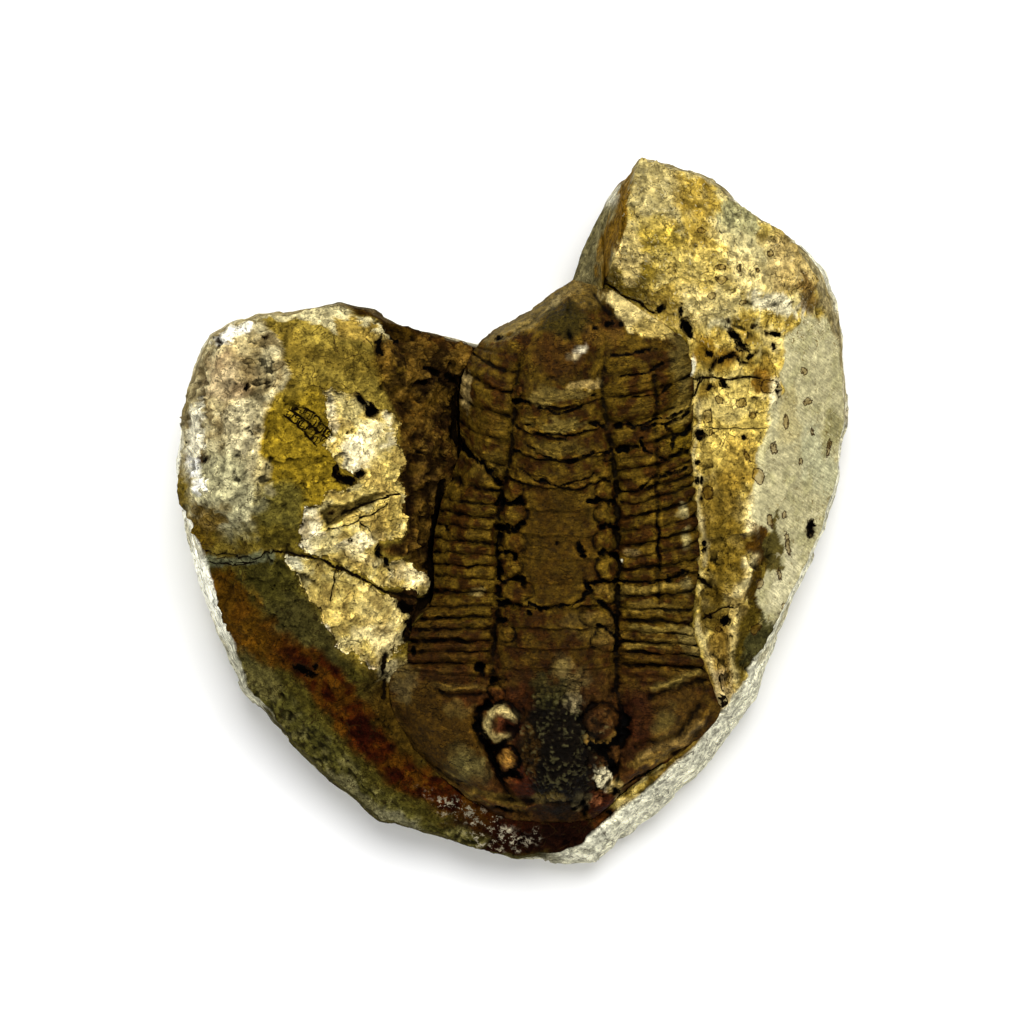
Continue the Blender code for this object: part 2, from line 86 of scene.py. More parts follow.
def flakes(place, size, seed):
    # broken facets: one point is scattered in each cube of this size, and a place takes the level
    # and the slope, about -1 to 1, that belong to the nearest point, and how near that is
    scaled = place / size
    corner = np.floor(scaled).astype(np.int64)
    nearest = np.full(len(place), 9.0)
    level = np.zeros(len(place))
    for step in np.ndindex(3, 3, 3):
        cube = corner + step - 1
        spread = np.stack([scramble(cube, seed + axis) for axis in range(3)], axis=1) / 4294967296.0
        away = scaled - cube - spread
        reach = np.einsum("ij,ij->i", away, away)
        slope = np.stack([scramble(cube, seed + 5 + axis) for axis in range(3)], axis=1) / 2147483648.0 - 1.0
        height = np.einsum("ij,ij->i", away, slope) + 0.4 * slope[:, 0]
        closer = reach < nearest
        nearest = np.where(closer, reach, nearest)
        level = np.where(closer, height, level)
    return level, np.sqrt(nearest)


def lineReach(x, y, points):
    # distance to a broken line, the least over its straight parts, and the side it is passed on
    best, side = np.full(x.shape, 1e9), np.zeros(x.shape)
    for (ax, ay), (bx, by) in zip(points[:-1], points[1:]):
        dx, dy = bx - ax, by - ay
        share = np.clip(((x - ax) * dx + (y - ay) * dy) / (dx * dx + dy * dy), 0.0, 1.0)
        far = np.hypot(x - ax - share * dx, y - ay - share * dy)
        closer = far < best
        side = np.where(closer, np.sign(dx * (y - ay) - dy * (x - ax)), side)
        best = np.where(closer, far, best)
    return best, side


def patchDepth(x, y, outline):
    # how far inside a closed outline a place lies, negative outside: the distance to the outline,
    # with its sign from how many of its sides a ray towards +X crosses
    closed = list(outline) + list(outline[:1])
    inside = np.zeros(x.shape, bool)
    for (ax, ay), (bx, by) in zip(closed[:-1], closed[1:]):
        if ay != by:
            inside ^= ((ay > y) != (by > y)) & (x < (bx - ax) * (y - ay) / (by - ay) + ax)
    far = lineReach(x, y, closed)[0]
    return np.where(inside, far, -far)


def ovalDepth(x, y, ovals):
    # how far inside the nearest of some ovals (x, y, half width, half length, turn in degrees) a
    # place lies: one less the stretched distance, times the smaller half size
    best = np.full(x.shape, -9.0)
    for ovalX, ovalY, halfX, halfY, turn in ovals:
        cos, sin = math.cos(math.radians(turn)), math.sin(math.radians(turn))
        along = ((x - ovalX) * cos + (y - ovalY) * sin) / halfX
        across = ((y - ovalY) * cos - (x - ovalX) * sin) / halfY
        best = np.maximum(best, (1.0 - np.hypot(along, across)) * min(halfX, halfY))
    return best


def throughTable(table, position, column):
    # Hermite curve through one column of a table at positions along its first column, with each
    # knot's slope taken from its two neighbours
    rows = np.asarray(table, float)
    knots, values = rows[:, 0], rows[:, column]
    slopes = np.gradient(values, knots)
    after = np.clip(np.searchsorted(knots, position, side="right"), 1, len(knots) - 1)
    before = after - 1
    span = knots[after] - knots[before]
    part = np.clip((position - knots[before]) / span, 0.0, 1.0)
    return (
        values[before] * (2 * part**3 - 3 * part**2 + 1)
        + values[after] * (3 * part**2 - 2 * part**3)
        + slopes[before] * span * (part**3 - 2 * part**2 + part)
        + slopes[after] * span * (part**3 - part**2)
    )


def thinPlate(spots, x, y, slack):
    # a sheet bent as little as it can be through spot heights: a plane, plus for each spot the
    # squared distance times its logarithm; slack lets the sheet pass a little off the spots
    spots = np.asarray(spots, float)

    def bend(toX, toY):
        squared = (toX[:, None] - spots[:, 0]) ** 2 + (toY[:, None] - spots[:, 1]) ** 2
        return squared * np.log(squared + 1e-9)

    count = len(spots)
    flat = np.column_stack([np.ones(count), spots[:, :2]])
    system = np.block([[bend(*spots[:, :2].T) + slack * np.eye(count), flat], [flat.T, np.zeros((3, 3))]])
    weights = np.linalg.solve(system, np.concatenate([spots[:, 2], np.zeros(3)]))
    height = weights[-3] + weights[-2] * x + weights[-1] * y
    for start in range(0, len(x), 20000):
        part = slice(start, start + 20000)
        height[part] += bend(x[part], y[part]) @ weights[:-3]
    return height


def gridNormals(grid, wraps):
    # unit normals of a grid of points: the cross product of its two central differences
    down = np.gradient(grid, axis=0)
    along = np.roll(grid, -1, axis=1) - np.roll(grid, 1, axis=1) if wraps else np.gradient(grid, axis=1)
    normal = np.cross(down, along)
    return normal / (np.linalg.norm(normal, axis=2, keepdims=True) + 1e-12)


def worn(grid, rounds, wraps):
    # each value moved to the mean of its four neighbours, a number of times over
    for _ in range(rounds):
        tall = np.concatenate([grid[:1], grid, grid[-1:]])
        side = "wrap" if wraps else "edge"
        wide = np.pad(grid, ((0, 0), (1, 1)), mode=side)
        grid = (tall[:-2] + tall[2:] + wide[:, :-2] + wide[:, 2:]) / 4.0
    return grid


def pigment(hexColour):
    # sRGB hex to the linear values that materials use
    levels = np.array([int(hexColour[at:at + 2], 16) for at in (1, 3, 5)]) / 255.0
    return np.where(levels <= 0.04045, levels / 12.92, ((levels + 0.055) / 1.055) ** 2.4)


def paint(colour, weight, hexColour):
    # one pigment laid over what is there, by weight
    weight = np.clip(weight, 0.0, 1.0)[:, None]
    return colour * (1.0 - weight) + pigment(hexColour) * weight


def layStains(colour, x, y, ragged, stains):
    # oval stains laid over each other: how far a place is out from a stain's middle, in its own
    # half sizes and turn, made ragged by noise, fades it from 1 inside to 0 outside
    for atX, atY, halfX, halfY, turn, blur, strength, hexColour in stains:
        cos, sin = math.cos(math.radians(turn)), math.sin(math.radians(turn))
        along = ((x - atX) * cos + (y - atY) * sin) / halfX
        across = ((y - atY) * cos - (x - atX) * sin) / halfY
        out = np.hypot(along, across) + ragged * min(1.0, 1.6 / math.sqrt(halfX * halfY))
        colour = paint(colour, strength * (1.0 - ease(1.0 - blur, 1.0 + blur, out)), hexColour)
    return colour


def layStreaks(colour, x, y, ragged, streaks):
    # streaks along broken lines, fading over the blur at the edge of their half width
    for half, blur, strength, hexColour, points in streaks:
        far = lineReach(x, y, points)[0] + 1.5 * ragged * half
        colour = paint(colour, strength * (1.0 - ease(half - blur, half + blur, far)), hexColour)
    return colour


def makePiece(name, points, faceSets, attributes, nodes):
    # a mesh from an array of points and arrays of quads and triangles, turned to face outwards,
    # with one attribute for each named array
    points = points * mm
    volume = 0.0
    for faces in faceSets:
        for corner in range(1, faces.shape[1] - 1):
            a, b, c = points[faces[:, 0]], points[faces[:, corner]], points[faces[:, corner + 1]]
            volume += np.einsum("ij,ij->", a, np.cross(b, c))
    if volume < 0.0:
        faceSets = [faces[:, ::-1] for faces in faceSets]
    mesh = bpy.data.meshes.new(name)
    mesh.vertices.add(len(points))
    mesh.vertices.foreach_set("co", points.astype(np.float32).ravel())
    corners = np.concatenate([faces.ravel() for faces in faceSets])
    sizes = np.concatenate([np.full(len(faces), faces.shape[1]) for faces in faceSets])
    mesh.loops.add(len(corners))
    mesh.loops.foreach_set("vertex_index", corners.astype(np.int32))
    mesh.polygons.add(len(sizes))
    mesh.polygons.foreach_set("loop_start", (np.cumsum(sizes) - sizes).astype(np.int32))
    mesh.update(calc_edges=True)
    mesh.validate()
    for label, values in attributes.items():
        kind, field = ("FLOAT_VECTOR", "vector") if values.ndim == 2 else ("FLOAT", "value")
        if label in ("tint", "fresh"):
            kind, field = "FLOAT_COLOR", "color"
            values = np.column_stack([values, np.ones(len(values))])
        layer = mesh.attributes.new(label, kind, "POINT")
        layer.data.foreach_set(field, values.astype(np.float32).ravel())
    mesh.shade_smooth()
    piece = bpy.data.objects.new(name, mesh)
    bpy.context.scene.collection.objects.link(piece)
    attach(piece, "root")
    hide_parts(*nodes)
    print(name, len(points), "points,", int(np.sum(sizes - 2)), "triangles")
    return piece


# The fossil: where its skin lies

fossil = {
    "rows": 500,
    "columns": 176,
    "axisShare": 0.42,          # side of the axial furrow: 0 on the midline, 1 on the margin
    "bedHeight": 9.3,           # the fossil's own underside, at the origin
    "bedSlope": 0.145,
    "tipSink": 3.4,             # the tail's tip goes this much deeper, and its foot this far in
    "tipUndercut": 2.6,
    "knobRise": 1.2,            # shares of a knob's height in the table: its crown, the moat round it
    "knobMoat": 0.45,
    "pitDepth": 1.0,
    "granuleHeight": 0.34,
    # station along the body, then x and y of left margin, left furrow, midline, right furrow, right margin
    "plan": [
        (0, -1.7, 18.3, 1.8, 20.3, 6.1, 23.2, 9.9, 22.2, 17, 17.4),
        (0.4, -3, 17, 1.3, 17.6, 5.2, 18.9, 9.6, 18.6, 17.5, 16.7),
        (1, -4, 15.9, 0.6, 13.8, 4.5, 13.1, 9, 13.8, 17.8, 15.8),
        (2, -5, 13.3, 0.4, 11.3, 4.5, 10.4, 9, 11.4, 18, 13.6),
        (3, -5.3, 10.8, 0.1, 8.7, 4.5, 7.6, 9.4, 8.8, 18.1, 11.4),
        (4, -5.2, 8.2, -0.1, 6.1, 4.8, 5, 9.9, 6.3, 18, 8.6),
        (5, -5.2, 5.9, -0.6, 3.6, 5, 2.3, 10.2, 3.8, 17.9, 5.8),
        (6, -6.8, 1.8, -1.2, 1, 4.8, -0.1, 10.4, 1, 18.2, 3),
        (7, -7.5, -1, -1.3, -1.6, 4.7, -2.6, 10.5, -1.7, 18.5, 0),
        (8, -7.9, -3.7, -1.4, -4.1, 4.7, -5, 10.6, -4.3, 18.7, -3),
        (9, -7.8, -6.2, -1.4, -6.5, 4.6, -7.3, 10.6, -6.8, 18.6, -5.8),
        (10, -8.1, -9, -1.5, -8.9, 4.5, -9.6, 10.6, -9, 18.2, -8.8),
        (11, -9.8, -11.3, -1.6, -11.2, 4.3, -11.8, 10.4, -11.1, 18.1, -11.6),
        (12, -10.4, -13.4, -1.7, -13.3, 4.2, -13.9, 10.4, -13.2, 18.7, -13.8),
        (13, -10.6, -15.2, -1.9, -15.4, 4.1, -15.9, 10.4, -15.4, 19.5, -15.8),
        (14, -12.2, -16.4, -2, -17.7, 4.1, -18, 10.5, -18, 20.4, -18),
        (14.6, -12.2, -18.6, -2.6, -19.8, 4.1, -20, 11, -20, 20.9, -19.8),
        (15.3, -11.2, -21.4, -2.4, -23, 4.1, -23.4, 11, -23, 19.3, -22.2),
        (16, -8.2, -25.5, -1.4, -26.3, 4.3, -26.8, 10.3, -26, 15.2, -25.4),
        (16.5, -4.4, -28.7, 0, -28.8, 4.3, -29, 8.6, -28.6, 11.8, -27.6),
        (17, -1.5, -30.4, 1.3, -31, 4.1, -31.2, 6.8, -31, 9.4, -29.8),
    ],
    # station, height in the axial furrow, rise of the axis over it, swell of the pleurae, height
    # of the left margin and of the right margin
    "heights": [
        (0, 14.6, 0.3, 0.1, 13, 20),
        (0.28, 18.6, 0.9, 0.2, 15.4, 20.2),
        (1, 19.7, 1.7, 0.7, 16, 19.5),
        (3, 19.3, 2.2, 0.9, 15.4, 18.6),
        (5, 18, 2.4, 0.9, 14.6, 17.8),
        (8, 16.6, 2.3, 0.9, 13.6, 16.6),
        (10, 15.8, 2.3, 0.9, 13.8, 15.6),
        (12, 14.9, 2.3, 0.9, 13.6, 14.6),
        (14, 13.8, 2.5, 1.2, 12.8, 13),
        (15.3, 12.4, 3, 1.6, 11.2, 11.6),
        (16.3, 10.6, 2.4, 1.2, 9.8, 10.2),
        (17, 8.6, 0.4, 0.2, 8.4, 8.8),
    ],
    # station, depth of the ring furrows, of the pleural furrows and of the axial furrows, and by
    # how much of a segment the pleurae lead the rings on the left and on the right
    "segments": [
        (0, 0, 0, 0, 0, 0),
        (0.5, 0, 0.05, 0, 0, 0),
        (0.9, 0.25, 0.5, 0.15, 0.1, 0),
        (1.4, 0.8, 0.85, 0.25, 0.3, 0),
        (4.6, 1, 0.9, 0.35, 0.42, 0.05),
        (5.4, 0.9, 0.95, 0.5, 0.42, 0.3),
        (6, 0.22, 1, 0.6, 0.42, 0.46),
        (9.2, 0.18, 1, 0.6, 0.42, 0.44),
        (10, 0.8, 1, 0.4, 0.3, 0.2),
        (11, 0.5, 1.05, 0.35, 0.3, 0.15),
        (12.5, 0.3, 1.05, 0.3, 0.15, 0.15),
        (13.3, 0.25, 0.95, 0.3, 0, 0),
        (13.7, 0.1, 0, 0.5, 0, 0),
        (16.2, 0, 0, 0.5, 0, 0),
        (17, 0, 0, 0, 0, 0),
    ],
    # station against rib count: the tail's last ribs are closer together
    "ribCount": [(0.0, -2.2), (1.0, 1.0), (17.0, 17.0)],
    # knobs: x, y, half width, half length, height
    "knobs": [
        (0, 2.2, 1.1, 1.1, 0.6), (0.2, -0.1, 1.3, 1, 0.6), (0.2, -3, 1.2, 1, 0.6),
        (0, -5.5, 1.1, 1, 0.6), (0.4, -7.9, 1.5, 1, 0.6), (-0.8, -12, 1, 1, 0.6),
        (9.2, 4.2, 1, 0.9, 0.5), (9.4, 2.2, 1.1, 1, 0.6), (9.5, -0.1, 1.2, 1, 0.6),
        (9.4, -2.9, 1.2, 1.1, 0.7), (9.6, -5.6, 1.2, 1.2, 0.7), (9.3, -8, 1.3, 1, 0.5),
        (8.7, -10.4, 1.8, 1, 0.6), (9.3, -12.8, 1.3, 1.1, 0.6), (0.6, 12, 0.5, 0.7, 0.5),
        (-1.2, -21, 1.8, 1.8, 1.1), (-0.5, -24.8, 1.1, 1, 1.2), (-1.5, -18, 0.8, 0.8, 0.7),
        (8.9, -21, 1.7, 1.7, 1), (8.9, -25, 1.2, 1.2, 0.5), (4.4, -23.4, 3.9, 6.2, 0.9),
        (15, -21.4, 1.8, 1.6, 0.2), (-4.6, -25.4, 2.6, 2, 0.2),
        (5.5, -16, 1.5, 1.7, 0.3), (6.6, -18.6, 1.4, 1.4, 0.35), (9.4, -26.8, 1, 1.5, 0.6),
        (9, -29.4, 1.9, 1.6, 0.8), (4.6, -25, 2.6, 3.6, 0.4), (11, -11, 0.6, 0.8, 0.3),
    ],
    # dents without black in them: x, y, half width, half length, depth
    "dents": [
        (-0.4, -21.6, 0.9, 1, 1.2), (0.4, -21.5, 0.9, 0.8, 0.6), (8.9, -20.8, 1, 1, 0.5),
        (-1.5, -18, 0.35, 0.35, 0.5), (1, 11.4, 0.6, 0.5, 0.4), (3, -27.6, 1.4, 1.2, 0.4),
        (15.6, -24, 1.6, 0.7, 0.4),
    ],
    # ridges and grooves drawn in the surface: half width, height, points
    "folds": [
        (0.2, 0.3, [(-7.4, -17.2), (-5.6, -17.8), (-3.8, -17.3), (-2.6, -17.8)]),
        (0.28, -0.5, [(-7.4, -18), (-5.4, -18.4), (-3.2, -18.1)]),
        (0.22, 0.35, [(14, -17.6), (15.6, -17.2), (17.6, -16.4), (18.8, -15.9)]),
        (0.3, -0.6, [(13.6, -18.3), (15.6, -18), (17.4, -17.4), (19.2, -16.8)]),
        (0.3, 0.5, [(12.6, -24.8), (13.8, -24.2), (15.2, -24), (17.2, -23), (18.8, -21.4), (19.8, -19.6)]),
        (0.4, -0.6, [(12.4, -23.6), (14.2, -22.9), (16.2, -22.5), (17.6, -21.2), (18.6, -19.4)]),
        (0.3, 0.4, [(-6.4, -27.2), (-3.4, -28.5), (-1.2, -29.2), (0.8, -29.7), (3, -29.2)]),
        (0.35, -0.5, [(-5.4, -28.6), (-3, -29.4), (-0.6, -30), (1.4, -30.2)]),
        (0.25, -0.4, [(-11.6, -19.6), (-11, -21.6), (-9.8, -23.6), (-7.6, -25.8), (-5.2, -27.2)]),
        (0.25, 0.4, [(10.8, -26.4), (12.6, -25.4), (14, -25.2)]),
        (0.2, -0.3, [(1.6, -26), (1.9, -24), (1.4, -22), (1.2, -19.6)]),
        (0.4, 0.7, [(0.2, -20.4), (-0.8, -19.7), (-1.8, -19.9), (-2.5, -20.8), (-2.4, -22), (-1.5, -22.7)]),
        (0.3, 0.5, [(7.4, -22.6), (8.4, -23.2), (9.6, -23), (10.4, -22.2)]),
        (0.14, 0.3, [(1.8, 9.6), (3.2, 8.8), (4.9, 8.4), (6.6, 8.9), (7.6, 9.6)]),
        (0.14, 0.3, [(2.4, 11.6), (3.6, 11), (5.2, 11.3), (7, 12.2), (8, 12)]),
        (0.12, 0.25, [(2, 6.6), (3.6, 5.9), (5.2, 5.8), (7.2, 6.4)]),
        (0.12, 0.25, [(2.2, 4), (3.6, 3.3), (5.4, 3.2), (7.2, 3.9)]),
        (0.3, -0.5, [(14.2, 13.6), (14.4, 10), (14.5, 6), (14.4, 2), (14.5, -2), (14.6, -6), (14.8, -9)]),
        (0.16, -0.3, [(5.8, 21.4), (5.7, 19.6)]), (0.14, 0.25, [(3.4, 20.2), (5, 22.4)]),
        (0.14, 0.25, [(0.6, 18.4), (3.8, 20.4)]), (0.16, -0.3, [(-1.2, 17.2), (1.4, 18.6), (2.6, 19.6)]),
    ],
    # deep slots and moats: half width, depth, then the points of their line
    "slots": [
        (0.3, 1.3, [(-1.3, 1.1), (0.2, 0.95), (1.1, 1.1)]),
        (0.34, 1.4, [(-1.4, -1.5), (-0.2, -1.6), (1, -1.5)]),
        (0.2, 1.2, [(-1.3, -4.3), (-0.4, -4), (0.2, -4.2), (0.3, -4.7)]),
        (0.24, 1.3, [(-1.5, -5.6), (-0.9, -6.8), (0.4, -6.6), (1, -6.8), (1.2, -7.4)]),
        (0.22, 1, [(-1.4, -9.1), (-0.4, -9), (0.6, -9.4)]),
        (0.2, 0.9, [(-1.2, -6.6), (-1.3, -5), (-1.5, -3.6), (-1.2, -2.4)]),
        (0.22, 1.2, [(7.6, 1.1), (9.2, 1.2), (10.2, 0.9)]),
        (0.22, 1.2, [(8.8, -1.5), (9.8, -1.4), (10.5, -1.6)]),
        (0.26, 1.3, [(8.8, -4), (9.8, -4.3), (10.4, -4.4)]),
        (0.16, 0.8, [(7.6, -7), (9, -6.7), (10.4, -6.8)]),
        (0.14, 0.8, [(7.3, -7), (7.7, -7.8), (7.3, -8.8), (6.4, -9.1), (5, -9.4), (3, -9.6), (1.6, -9.2)]),
        (0.14, 0.7, [(8.6, -8.9), (9.8, -9.6), (10.4, -10.6), (10.7, -11.6)]),
        (0.16, 0.8, [(8.6, -11.4), (9.6, -11.9), (10.3, -12.6), (10.4, -13.6)]),
        (0.36, 1.6, [(-2.5, -19.2), (-3.3, -20), (-3.4, -21.6), (-3, -22.9), (-2.2, -23.6), (-0.9, -23.3)]),
        (0.4, 1.4, [(-2.2, -23.8), (-1.7, -25.2), (-1.2, -26.4), (0.6, -26.2)]),
        (0.4, 0.8, [(6.9, -19.4), (6.8, -20.6)]),
        (0.5, 1, [(7.4, -23.2), (8.8, -23.6), (10.2, -23.2), (11, -22.4), (11.3, -20.8)]),
        (0.55, 1, [(9.4, -24.2), (9.9, -25.6)]),
        (0.45, 1.2, [(-3.2, -15.6), (-2.9, -16)]), (0.24, 0.8, [(-2, -16.6), (-0.6, -16.7)]),
        (0.18, 0.9, [(10.2, -28.1), (11.6, -27.2), (12.8, -26.4), (14, -26), (14.9, -25.4)]),
        (0.3, 0.9, [(12.8, -26.5), (13.6, -26)]),
        (0.2, 0.9, [(-1.6, -29.5), (-0.8, -29.8), (-0.1, -30.1)]),
        (0.3, 0.9, [(6.2, -29.6), (7, -29.2), (7.4, -30)]),
        (0.22, 0.9, [(0.3, 11.2), (1.6, 10.9)]), (0.28, 1, [(0.4, 8.6), (1.9, 8.5)]),
        (0.12, 0.6, [(2.4, 8), (3.8, 7.4), (5.2, 7.3), (6.6, 7.9)]),
        (0.12, 0.6, [(1.2, 6.9), (2.6, 5.8), (4.8, 5.1), (6.6, 5.2), (8, 5.8)]),
        (0.12, 0.6, [(1, 4.3), (2.4, 3.2), (4.6, 2.6), (6.8, 3), (8.2, 3.6)]),
        (0.1, 0.5, [(2.6, 10.4), (4.2, 9.8), (5.6, 10), (7, 10.7)]),
        (0.16, 0.8, [(0.1, 6.2), (1, 6.1)]), (0.22, 1, [(7.8, 8.8), (8.8, 8.7), (9.4, 8.5)]),
        (0.18, 0.8, [(7.9, 11.4), (8.6, 11.5)]), (0.14, 0.7, [(7.8, 6), (8.6, 5.7), (10, 6.3)]),
        (0.26, 1, [(10.5, 8.5), (12.2, 8.5)]), (0.22, 1, [(10.6, 6.3), (12.4, 6.4)]),
        (0.34, 1.8, [(-5.2, 6.8), (-3.4, 5.2), (-1.8, 3.8), (-1.2, 2.8)]),
        (0.1, 0.6, [(8.4, -6.9), (11.6, -6.9), (14.2, -7.1), (15.6, -6.8)]),
        (0.22, 0.9, [(15.6, -6.8), (16.6, -6.2), (17.4, -5.8)]),
        (0.14, 0.6, [(12.8, 7.4), (13.2, 6.2), (14.2, 5.6), (15.4, 5.1), (16.4, 5.6), (17, 6.2)]),
        (0.08, 0.5, [(15.2, 8.6), (16, 7.6), (16.1, 6.4)]),
        (0.18, 0.8, [(18, 8.8), (17.2, 7.8), (16, 7.2)]),
        (0.14, 0.8, [(18, 11), (17.6, 10), (16.8, 9.4), (14.4, 8.6), (12.8, 8.4)]),
        (0.11, 0.7, [(12, 11.3), (14.4, 11.6), (15.8, 12.8)]),
        (0.11, 0.7, [(12.4, 8.6), (15, 9.2), (17.6, 10.2)]),
        (0.1, 0.7, [(11, 13.5), (13.2, 13.9), (15, 14.9)]),
        (0.1, 0.7, [(9.8, 15.5), (12, 15.7), (14.3, 16.4)]),
        (0.1, 0.5, [(14.3, -0.2), (14.6, -2), (14.5, -4.2), (14.8, -5.8)]),
        (0.14, 0.7, [(12.6, 2.4), (14.2, 3.4), (15.6, 3.9), (17.4, 4.4)]),
    ],
    # single pits: x, y, half width, half length, turn
    "pits": [
        (6.8, -3.6, 0.45, 0.7, 20), (7, -4.3, 0.3, 0.3, 0), (-6.4, -1.6, 0.22, 0.35, 0),
        (4.4, -3.2, 0.12, 0.16, 0), (-3, -7.4, 0.16, 0.16, 0), (-2.9, -15.4, 0.4, 0.45, 0),
        (-1, -10.9, 0.5, 0.3, 0), (8.3, 18.3, 0.3, 0.2, 0), (9.6, 18.7, 0.4, 0.25, 20),
        (10.8, 18.6, 0.3, 0.2, 0), (9.2, 19.3, 0.25, 0.2, 0), (-1.2, 17.4, 0.4, 0.2, 20),
        (-9.9, -14, 0.3, 0.5, 10), (1.6, -10, 0.2, 0.2, 0), (5.8, 17.6, 0.14, 0.5, 20),
    ],
    # oval stains, each: x, y, half width, half length, turn, blur, strength, colour
    "stains": [
        # tail
        (2.8, 20.4, 5.6, 1.1, 33, 0.2, 0.9, "#7a683c"), (5.6, 21.9, 2.2, 0.6, 33, 0.2, 0.8, "#b3a070"),
        (7.6, 21.8, 2.6, 1.5, 0, 0.3, 0.8, "#836a32"), (12.4, 19.7, 3.4, 1.5, -26, 0.12, 1, "#e9d394"),
        (14, 18.4, 1.8, 1, -10, 0.2, 0.9, "#cbb268"), (5.4, 18.8, 2.6, 1.8, 20, 0.4, 0.9, "#2a2409"),
        (9.8, 18.6, 1.6, 0.8, -20, 0.3, 0.9, "#341c08"), (9.4, 17.6, 2, 1, 0, 0.3, 0.7, "#64491a"),
        (4.4, 15.4, 2.8, 1.9, 0, 0.3, 0.8, "#4a2f0c"), (6.8, 15.9, 0.5, 0.3, 20, 0.9, 0.8, "#fff6e2"),
        (6.1, 15.3, 0.36, 0.26, 0, 0.9, 0.6, "#e9d8b0"), (7.2, 12.8, 2, 0.5, 12, 0.2, 0.9, "#b79c62"),
        (16.9, 15, 0.8, 4, 5, 0.6, 0.6, "#83723c"), (17.2, 10.6, 0.8, 2, -20, 0.3, 0.8, "#8a7434"),
        (-4.7, 12.6, 0.5, 2.6, 8, 0.3, 0.9, "#a08a5c"), (-2.6, 15.6, 1.6, 0.8, 30, 0.3, 0.7, "#5c461a"),
        (-1.4, 8.6, 2.2, 1.6, 0, 0.3, 0.5, "#6d5418"), (4.8, 11.6, 2.6, 0.8, 5, 0.25, 0.7, "#7e6c38"),
        (4.8, 8.6, 2.4, 0.7, 0, 0.25, 0.7, "#7c6a34"), (4.6, 6.2, 2.4, 0.7, 0, 0.3, 0.6, "#6f5c26"),
        (-2.4, 4.6, 1.8, 1.6, 0, 0.3, 0.5, "#5c4a1a"),
        # thorax
        (12.2, -4.2, 0.8, 0.35, 0, 0.6, 0.45, "#8f7b52"), (11, -4.9, 0.14, 0.14, 0, 0.2, 1, "#fffff0"),
        (-3.6, -7.8, 0.8, 0.4, 0, 0.5, 0.6, "#a08c58"), (4.4, -3.4, 3.8, 6.4, 0, 0.3, 0.75, "#4c360a"),
        (17, 0.4, 0.35, 0.7, 0, 0.8, 0.7, "#c9bb88"), (17.4, -2.6, 0.35, 0.8, 0, 0.8, 0.7, "#bcae78"),
        (17, 6.8, 1.4, 1.6, 0, 0.3, 0.7, "#7c6416"), (17.4, -7.2, 0.5, 0.7, 0, 0.8, 0.6, "#b9a870"),
        (13.8, -7.8, 3.4, 0.5, 3, 0.25, 0.8, "#8a7234"), (14.6, -9.6, 2.8, 0.4, 0, 0.25, 0.7, "#80682c"),
        (14.8, -11.6, 2.8, 0.4, -3, 0.25, 0.8, "#8a7436"), (14.8, -13.2, 3.2, 0.5, 0, 0.3, 0.7, "#7d662c"),
        (17.8, -12.8, 1, 1.6, 20, 0.3, 0.8, "#8f7c46"), (9.4, -7.8, 1.4, 0.6, -10, 0.3, 0.7, "#6e5620"),
        (8.8, -12, 1.6, 1.4, -20, 0.6, 0.6, "#6f5a2a"), (6.4, -10.8, 1.4, 0.8, 20, 0.6, 0.5, "#67522a"),
        (-7.2, -9.4, 3, 0.8, 0, 0.3, 0.6, "#584010"), (-7.2, -13.6, 3.4, 3, 0, 0.3, 0.5, "#38210a"),
        # head
        (4.4, -24, 10, 8, 0, 0.3, 0.8, "#39200a"), (-7, -22.4, 4.4, 5.2, 20, 0.3, 0.9, "#3f2b07"),
        (16, -20, 3.6, 3, 0, 0.3, 0.8, "#46300c"), (12.8, -20.6, 1.8, 3.4, 0, 0.3, 0.7, "#331408"),
        (-1, -19, 5, 1.4, 0, 0.3, 0.7, "#3d1d08"), (-5.6, -19.8, 1.2, 0.8, 0, 0.4, 0.5, "#665324"),
        (-5.2, -25, 1.6, 1.4, 30, 0.8, 0.5, "#655c30"), (-3.8, -26, 1.6, 1, -20, 0.8, 0.5, "#6a6034"),
        (15.2, -21.2, 1, 1.4, -30, 0.8, 0.5, "#6a5c2a"), (-5.4, -17.5, 2.4, 0.25, -3, 0.5, 0.3, "#5f4c20"),
        (16.8, -16.8, 2.2, 0.35, 22, 0.5, 0.4, "#705e2c"), (4.6, -24.2, 4.2, 6.6, 0, 0.25, 1, "#120c05"),
        (5.2, -15.4, 0.7, 1, 0, 0.7, 0.7, "#8b7846"), (6, -17.2, 1.2, 1, 30, 0.7, 0.5, "#7d6c3c"),
        (6.2, -18.9, 1, 0.8, 0, 0.7, 0.7, "#94845a"), (3.6, -17.8, 1.8, 1.6, 0, 0.3, 0.7, "#3d3818"),
        (-0.4, -21.4, 1.4, 1.5, 0, 0.2, 0.9, "#4a2410"), (-0.4, -24.8, 0.9, 0.8, 0, 0.2, 0.9, "#7a5620"),
        (1.2, -26.8, 1.3, 1.6, 0, 0.3, 0.9, "#3d1806"), (2, -24, 0.8, 2.4, 5, 0.3, 0.7, "#3f2a0a"),
        (9.2, -26.8, 0.8, 1.5, 20, 0.1, 1, "#b5ab86"), (10.4, -27.6, 0.8, 0.5, 0, 0.2, 0.8, "#84713c"),
        (9, -29.2, 1.9, 1.6, 0, 0.3, 1, "#2f1306"), (8.4, -28.8, 0.5, 0.6, 0, 0.2, 0.8, "#7d4a2a"),
        (14, -24.6, 2.6, 0.6, 15, 0.3, 0.8, "#7b6026"), (17.4, -22.4, 0.6, 2.6, -35, 0.3, 0.7, "#6a5020"),
        (3.6, -28.8, 1.8, 0.8, 10, 0.3, 0.8, "#5d4c22"), (-2, -28.6, 3.6, 0.5, -15, 0.3, 0.7, "#5d4a1a"),
